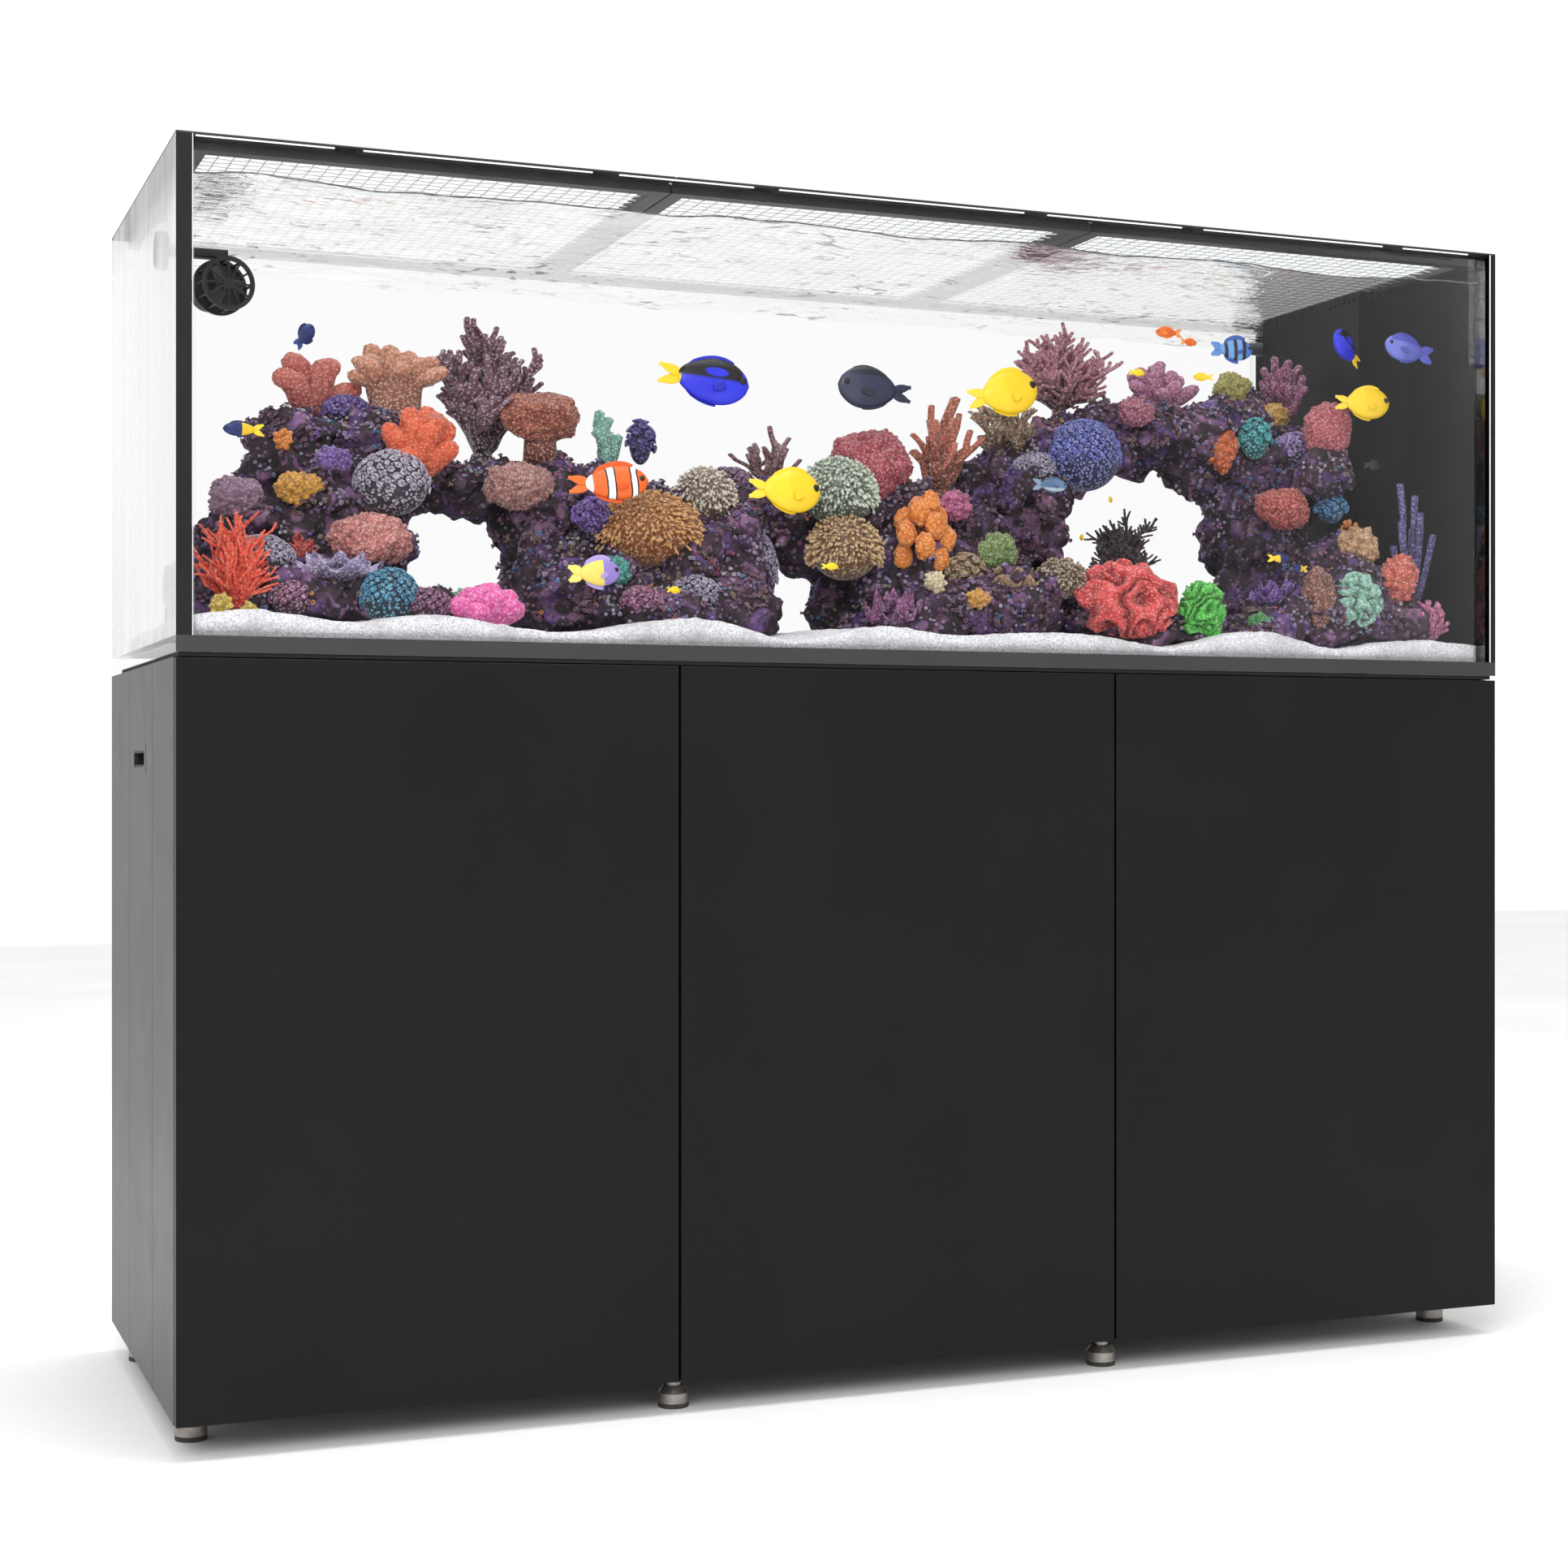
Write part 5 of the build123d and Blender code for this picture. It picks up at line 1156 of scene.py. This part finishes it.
def fish_shape(long, deep, fork, high_fin, bend):
    """One fish along +X, nose first: body rings whose half-height rises fast to the shoulder and narrows to the
    tail root, thin fins above and below, two tail lobes, side fins and eyes. Tone: 0 nose to 1 tail root, 1.5 fins,
    1.75 tail, 2 eye."""
    s = np.linspace(0, 1, 26)
    profile = np.sin(np.pi * s ** 0.84) ** 0.64
    profile = np.maximum(profile, 0.05) + 0.15 * s ** 3
    half = deep / 2 * profile / profile.max()
    x = long * (0.5 - 0.78 * s)
    y = bend * long * np.sin(2.4 * s + 0.3) * s
    ratio = 2.5
    path = np.stack([x, y, 0 * s], axis=-1)
    body = tubes(path, half / ratio, 20, s, ratio)
    mid = slice(6, 23)
    t = np.linspace(0, 1, 17)
    fin = deep * high_fin * (0.55 + 0.45 * np.sin(np.pi * t ** 0.8)) * np.minimum(1, 8 * (1 - t) + 0.15)
    top = path[mid] + np.stack([0 * t, 0 * t, half[mid] * 0.92 + fin * 0.18], axis=-1)
    low = path[mid][5:] - np.stack([0 * t, 0 * t, half[mid] * 0.92 + fin * 0.16], axis=-1)[5:]
    parts = [body, blade(top, fin), blade(low, fin[5:] * 0.9)]
    tail = path[-1]
    u = np.linspace(0, 1, 8)
    for side in (1, -1):
        lobe = np.stack([tail[0] + long * 0.03 - long * 0.24 * u, tail[1] + bend * long * 0.3 * u,
                         side * deep * (0.05 + fork * u)], axis=-1)
        spread = deep * min(fork / 0.24, 1) * (0.16 + 0.26 * np.sin(np.pi * np.minimum(u + 0.12, 0.97)))
        parts.append(blade(lobe, spread, 10, 1.75))
        side_fin = np.stack([x[8] - long * 0.17 * u, y[8] + side * (half[8] / ratio * 0.9 + long * 0.05 * u),
                             -deep * 0.06 - deep * 0.12 * u], axis=-1)
        parts.append(blade(side_fin, deep * (0.07 + 0.14 * np.sin(np.pi * u * 0.9)), 7))
        eye = ball((x[3], y[3] + side * half[3] / ratio * 0.88, half[3] * 0.22),
                   np.array([0.085, 0.045, 0.085]) * deep, 14, 9)
        eye["k"] = np.full(len(eye["v"]), 2.0)
        parts.append(eye)
    return join(parts)


def fish_skin(name, stops, fins, tail, back=None, back_from=0.35, back_to=0.95, belly=None, window=False):
    """Scales in bands along the body: each stop is a place from nose to tail and its colour. An optional back
    colour covers the part above a height, with an oval window left open in it if asked; an optional belly colour
    covers the part below."""
    made, tree, leave = blank_material(name)
    tone = add(tree, "ShaderNodeAttribute", {"attribute_name": "tone"}).outputs["Fac"]
    rise = add(tree, "ShaderNodeAttribute", {"attribute_name": "rise"}).outputs["Fac"]
    scales = add(tree, "ShaderNodeTexVoronoi", Vector=scaled_place(tree, 420.0), Scale=1.0)
    wobble = add(tree, "ShaderNodeTexNoise", Vector=scaled_place(tree, 70.0), Scale=1.0, Detail=2.0)
    moved = sums(tree, "MULTIPLY_ADD", wobble.outputs["Fac"], 0.05, tone)
    half = sums(tree, "MULTIPLY", moved.outputs[0], 0.5)
    ramp = add(tree, "ShaderNodeValToRGB", Fac=half.outputs[0])
    ramp.color_ramp.interpolation = "CONSTANT"
    bands = [(place / 2, colour) for place, colour in stops] + [(0.62, fins), (0.82, tail), (0.95, "050505")]
    while len(ramp.color_ramp.elements) < len(bands):
        ramp.color_ramp.elements.new(1.0)
    for element, (place, colour) in zip(ramp.color_ramp.elements, bands):
        element.position = place
        element.color = rgb(colour)
    colour = ramp.outputs["Color"]
    for shade, low, high in ((back, back_from, back_from + 0.12), (belly, -0.30, -0.55)):
        if shade:
            above = remap(tree, rise, low, high)
            ahead = sums(tree, "LESS_THAN", tone, back_to)
            behind = sums(tree, "GREATER_THAN", tone, 0.12)
            both = sums(tree, "MULTIPLY", ahead.outputs[0], behind.outputs[0])
            share = sums(tree, "MULTIPLY", both.outputs[0], above.outputs[0])
            if window:
                place = add(tree, "ShaderNodeCombineXYZ", X=tone, Y=rise)
                oval = add(tree, "ShaderNodeVectorMath", {"operation": "MULTIPLY_ADD"}, i0=place.outputs[0],
                           i1=(1 / 0.16, 1 / 0.19, 1.0), i2=(-0.49 / 0.16, -0.34 / 0.19, 0.0))
                away = add(tree, "ShaderNodeVectorMath", {"operation": "LENGTH"}, i0=oval.outputs[0])
                open_part = remap(tree, away.outputs["Value"], 0.9, 1.1)
                share = sums(tree, "MULTIPLY", share.outputs[0], open_part.outputs[0])
            colour = mixed(tree, share.outputs[0], colour, rgb(shade)).outputs[2]
    normal = add(tree, "ShaderNodeBump", Height=scales.outputs["Distance"], Distance=0.0004, Strength=0.5)
    # The skin glows faintly in its own colour: painted light, as a fish is no lamp.
    surface = add(tree, "ShaderNodeBsdfPrincipled", Base_Color=colour, Roughness=0.35, Normal=normal.outputs[0],
                  Specular_IOR_Level=0.5, Emission_Color=colour, Emission_Strength=0.08)
    tree.links.new(surface.outputs[0], leave.inputs["Surface"])
    return made


def make_fish(name, place, long, skin, deep=0.52, fork=0.26, fin=0.20, heading=0.0, pitch=0.0, bend=0.03):
    """One fish at its own place; heading 0 swims right along the front and 180 left."""
    shell = fish_shape(long, deep * long, fork, fin, bend)
    points = shell["v"]
    rise = np.clip(points[:, 2] / (deep * long / 2), -1, 1)
    turn, tip = math.radians(heading), math.radians(pitch)
    ahead = points[:, 0] * math.cos(tip) - points[:, 2] * math.sin(tip)
    up = points[:, 0] * math.sin(tip) + points[:, 2] * math.cos(tip)
    shell["v"] = np.stack([ahead * math.cos(turn) - points[:, 1] * math.sin(turn),
                           ahead * math.sin(turn) + points[:, 1] * math.cos(turn), up], axis=-1) + place
    made = make_piece(name, shell, skin)
    height = made.data.attributes.new("rise", "FLOAT", "POINT")
    height.data.foreach_set("value", rise.astype(np.float32))
    return made


def make_shoal():
    """The stock: tangs, a clownfish, damsels, chromis and small yellow and orange fish."""
    blue = fish_skin("royal_blue_scales", ((0.0, "2430D8"), (0.5, "2028D0"), (1.0, "E8C818")), "1C22B8", "F0CC20",
                     "05050E", 0.0, 1.0, window=True)
    dark = fish_skin("dusk_scales", ((0.0, "343850"), (0.35, "2A2E48")), "181A2C", "20243C", "181A2C", 0.5)
    yellow = fish_skin("lemon_scales", ((0.0, "F0C818"), (0.6, "F4D020")), "F0CC20", "F0D438")
    clown = fish_skin("clown_scales", ((0.0, "E8641C"), (0.20, "101010"), (0.225, "F4F0EC"), (0.31, "101010"),
                                       (0.335, "E8641C"), (0.56, "101010"), (0.585, "F4F0EC"), (0.68, "101010"),
                                       (0.705, "E8641C"), (0.92, "F4F0EC")), "D85414", "E86C20")
    navy_gold = fish_skin("navy_gold_scales", ((0.0, "182868"), (0.6, "E8C020")), "182050", "F0D030")
    navy = fish_skin("navy_scales", ((0.0, "1C2C68"), (0.5, "16225A")), "141C48", "2C3C80")
    lilac = fish_skin("lilac_gold_scales", ((0.0, "8C78C0"), (0.45, "E8D060")), "A898D0", "F0DC70")
    striped = fish_skin("banded_damsel_scales",
                        ((0.0, "4878C8"), (0.25, "181C30"), (0.36, "6C9CD8"), (0.52, "181C30"), (0.63, "6C9CD8"),
                         (0.8, "181C30"), (0.9, "6C9CD8")), "385CA8", "5C8CD0")
    orange = fish_skin("tangerine_scales", ((0.0, "E87020"), (0.5, "E06018")), "F08C38", "F09C48")
    violet = fish_skin("violet_blue_scales", ((0.0, "7078D4"), (0.5, "646CC8")), "4448A8", "5C60C8", "4C50B4",
                       0.3)
    steel = fish_skin("steel_blue_scales", ((0.0, "5C7898"), (0.5, "4C6888")), "485C78", "7C94AC", belly="A8B8C8")
    black = fish_skin("black_scales", ((0.0, "1C1C20"), (0.5, "141418")), "101014", "242428")
    tang = {"deep": 0.50, "fin": 0.12, "fork": 0.13}
    slim = {"deep": 0.34, "fin": 0.24, "fork": 0.34}
    round_one = {"deep": 0.50, "fin": 0.30, "fork": 0.22}
    make_fish("blue_tang", (-0.225, -0.175, 1.302), 0.125, blue, **tang, pitch=-6)
    make_fish("dusk_tang", (0.027, -0.15, 1.307), 0.112, dark, **tang, heading=186, pitch=4)
    make_fish("yellow_tang_centre", (-0.122, -0.20, 1.160), 0.104, yellow, deep=0.56, fin=0.12, fork=0.13,
              heading=6)
    make_fish("yellow_tang_right", (0.209, -0.17, 1.309), 0.106, yellow, deep=0.58, fin=0.14, fork=0.13, pitch=12)
    make_fish("yellow_tang_weir", (0.775, -0.19, 1.325), 0.084, yellow, deep=0.56, fin=0.14, fork=0.13,
              heading=-8)
    make_fish("clownfish", (-0.362, -0.20, 1.159), 0.106, clown, deep=0.42, fin=0.24, fork=0.16, pitch=5)
    make_fish("navy_gold_fish", (-0.815, -0.17, 1.207), 0.050, navy_gold, **slim, heading=184)
    make_fish("navy_fish", (-0.735, -0.14, 1.330), 0.040, navy, **round_one, heading=30, pitch=48)
    make_fish("lilac_gold_fish", (-0.390, -0.23, 1.042), 0.068, lilac, **round_one, pitch=4)
    make_fish("banded_damsel", (0.595, -0.13, 1.400), 0.064, striped, **round_one, heading=-6)
    make_fish("tangerine_fish", (0.485, -0.14, 1.415), 0.042, orange, **slim, heading=180)
    make_fish("tangerine_companion", (0.512, -0.15, 1.402), 0.030, orange, **slim, heading=12)
    make_fish("lemon_small", (0.417, -0.17, 1.350), 0.026, yellow, **slim)
    make_fish("lemon_medium", (0.523, -0.17, 1.350), 0.030, yellow, **slim, heading=170)
    make_fish("blue_tang_small", (0.762, -0.17, 1.405), 0.074, blue, deep=0.52, fin=0.12, fork=0.13, heading=205,
              pitch=32)
    make_fish("violet_fish", (0.840, -0.21, 1.402), 0.086, violet, deep=0.44, fin=0.18, fork=0.22, heading=184,
              pitch=10)
    make_fish("black_fish", (0.774, -0.215, 1.232), 0.026, black, **round_one)
    make_fish("navy_gold_pair_one", (0.606, -0.235, 1.092), 0.036, navy_gold, **slim)
    make_fish("navy_gold_pair_two", (0.634, -0.245, 1.078), 0.032, navy_gold, **slim, heading=200)
    make_fish("steel_fish", (0.271, -0.19, 1.185), 0.054, steel, **slim, heading=4)
    for number, (x, y, z) in enumerate(((-0.071, -0.23, 1.060), (-0.287, -0.235, 1.023), (0.364, -0.19, 1.169),
                                        (0.309, -0.21, 1.113))):
        make_fish("lemon_tiny_%d" % (number + 1), (x, y, z), 0.024, yellow, **slim, heading=25 * number)


# ---------------------------------------------------------------- painted highlights and the painted water line on the glass
CLIP_DISTANCES = (0.199, 0.514, 0.724, 1.101, 1.337, 1.656)


def make_water_line():
    """Grey line where the water climbs the front pane, following the water's own height: painted shade standing in
    for the dark line the meniscus shows through the glass.
    """
    x = np.linspace(PANE_LEFT + 0.001, PANE_RIGHT - 0.001, 300)
    y = np.full_like(x, PANE_FRONT + 0.0016)
    path = np.stack([x, y, water_height(x, y)], axis=-1)
    line = tubes(path, 0.0007 + 0.0005 * hashed(np.stack([np.arange(300)] * 3, axis=-1), 2), 6)
    # The grey colour is painted shade: clear water shows this line only by how it bends and mirrors light.
    finish = moulded("painted_water_line", "77787C", "55565C", 0.3, bump=0.0001, size=60, fine=300, depth=0.2)
    make_piece("painted_water_line", line, finish)


def make_rim_glints():
    """Painted highlight of the front pane's top edge: near-white short bars under the rim, showing between the lid
    clips.
    """
    low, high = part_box("glass_front")
    bar_deep, bar_high, under, gap = 0.0008, 0.0017, 0.0014, 0.034
    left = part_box("glass_left_end")[0].x
    stops = [left + 0.005, *(left + d for d in CLIP_DISTANCES), high.x - 0.012]
    bars = [slab((a + gap / 2, low.y - bar_deep, RIM - under - bar_high),
                 (b - gap / 2, low.y + 0.001, RIM - under))
            for a, b in zip(stops[:-1], stops[1:])]
    # Near-white finish: painted highlight where light catches the glass edge.
    finish = moulded("painted_rim_highlight", "F4F6F6", "E4E8E8", 0.35, bump=0.0001, size=40, fine=600, depth=0.03)
    make_piece("rim_glints", join(bars), finish, smooth=False)


def make_corner_lines():
    """Painted highlights of the glass edges beside the dark corner strips: one on the right end pane, one where the
    left end pane meets the front pane."""
    right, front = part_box("glass_right_end"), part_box("glass_front")
    lines = [slab((right[1].x - 0.0084, right[0].y - 0.0010, right[0].z), (right[1].x - 0.0072, right[0].y, RIM)),
             slab((front[0].x + 0.0004, front[0].y - 0.0007, front[0].z), (front[0].x + 0.0012, front[0].y, RIM))]
    # Near-white finish: painted highlight where light catches these glass edges.
    finish = moulded("painted_corner_highlight", "E8EBEB", "DDE1E1", 0.35, bump=0.0001, size=40, fine=600, depth=0.03)
    make_piece("corner_highlight_lines", join(lines), finish, smooth=False)


# ---------------------------------------------------------------- making the whole scene
make_stage()
make_lights()
make_camera()
finish_frame_pieces()
make_water_surface()
make_sand()
for lid in ("left", "middle", "right"):
    make_net(lid)
rock_finish = make_rock_finish()
stacks = [make_rock("rock_stack_left", LUMPS_LEFT, rock_finish, "reef_rock_left"),
          make_rock("rock_stack_centre", LUMPS_CENTRE, rock_finish, "reef_rock_centre"),
          make_rock("rock_stack_right", LUMPS_RIGHT, rock_finish, "reef_rock_right")]
make_buttons(stacks)
make_colonies()
make_shoal()
make_water_line()
make_rim_glints()
make_corner_lines()
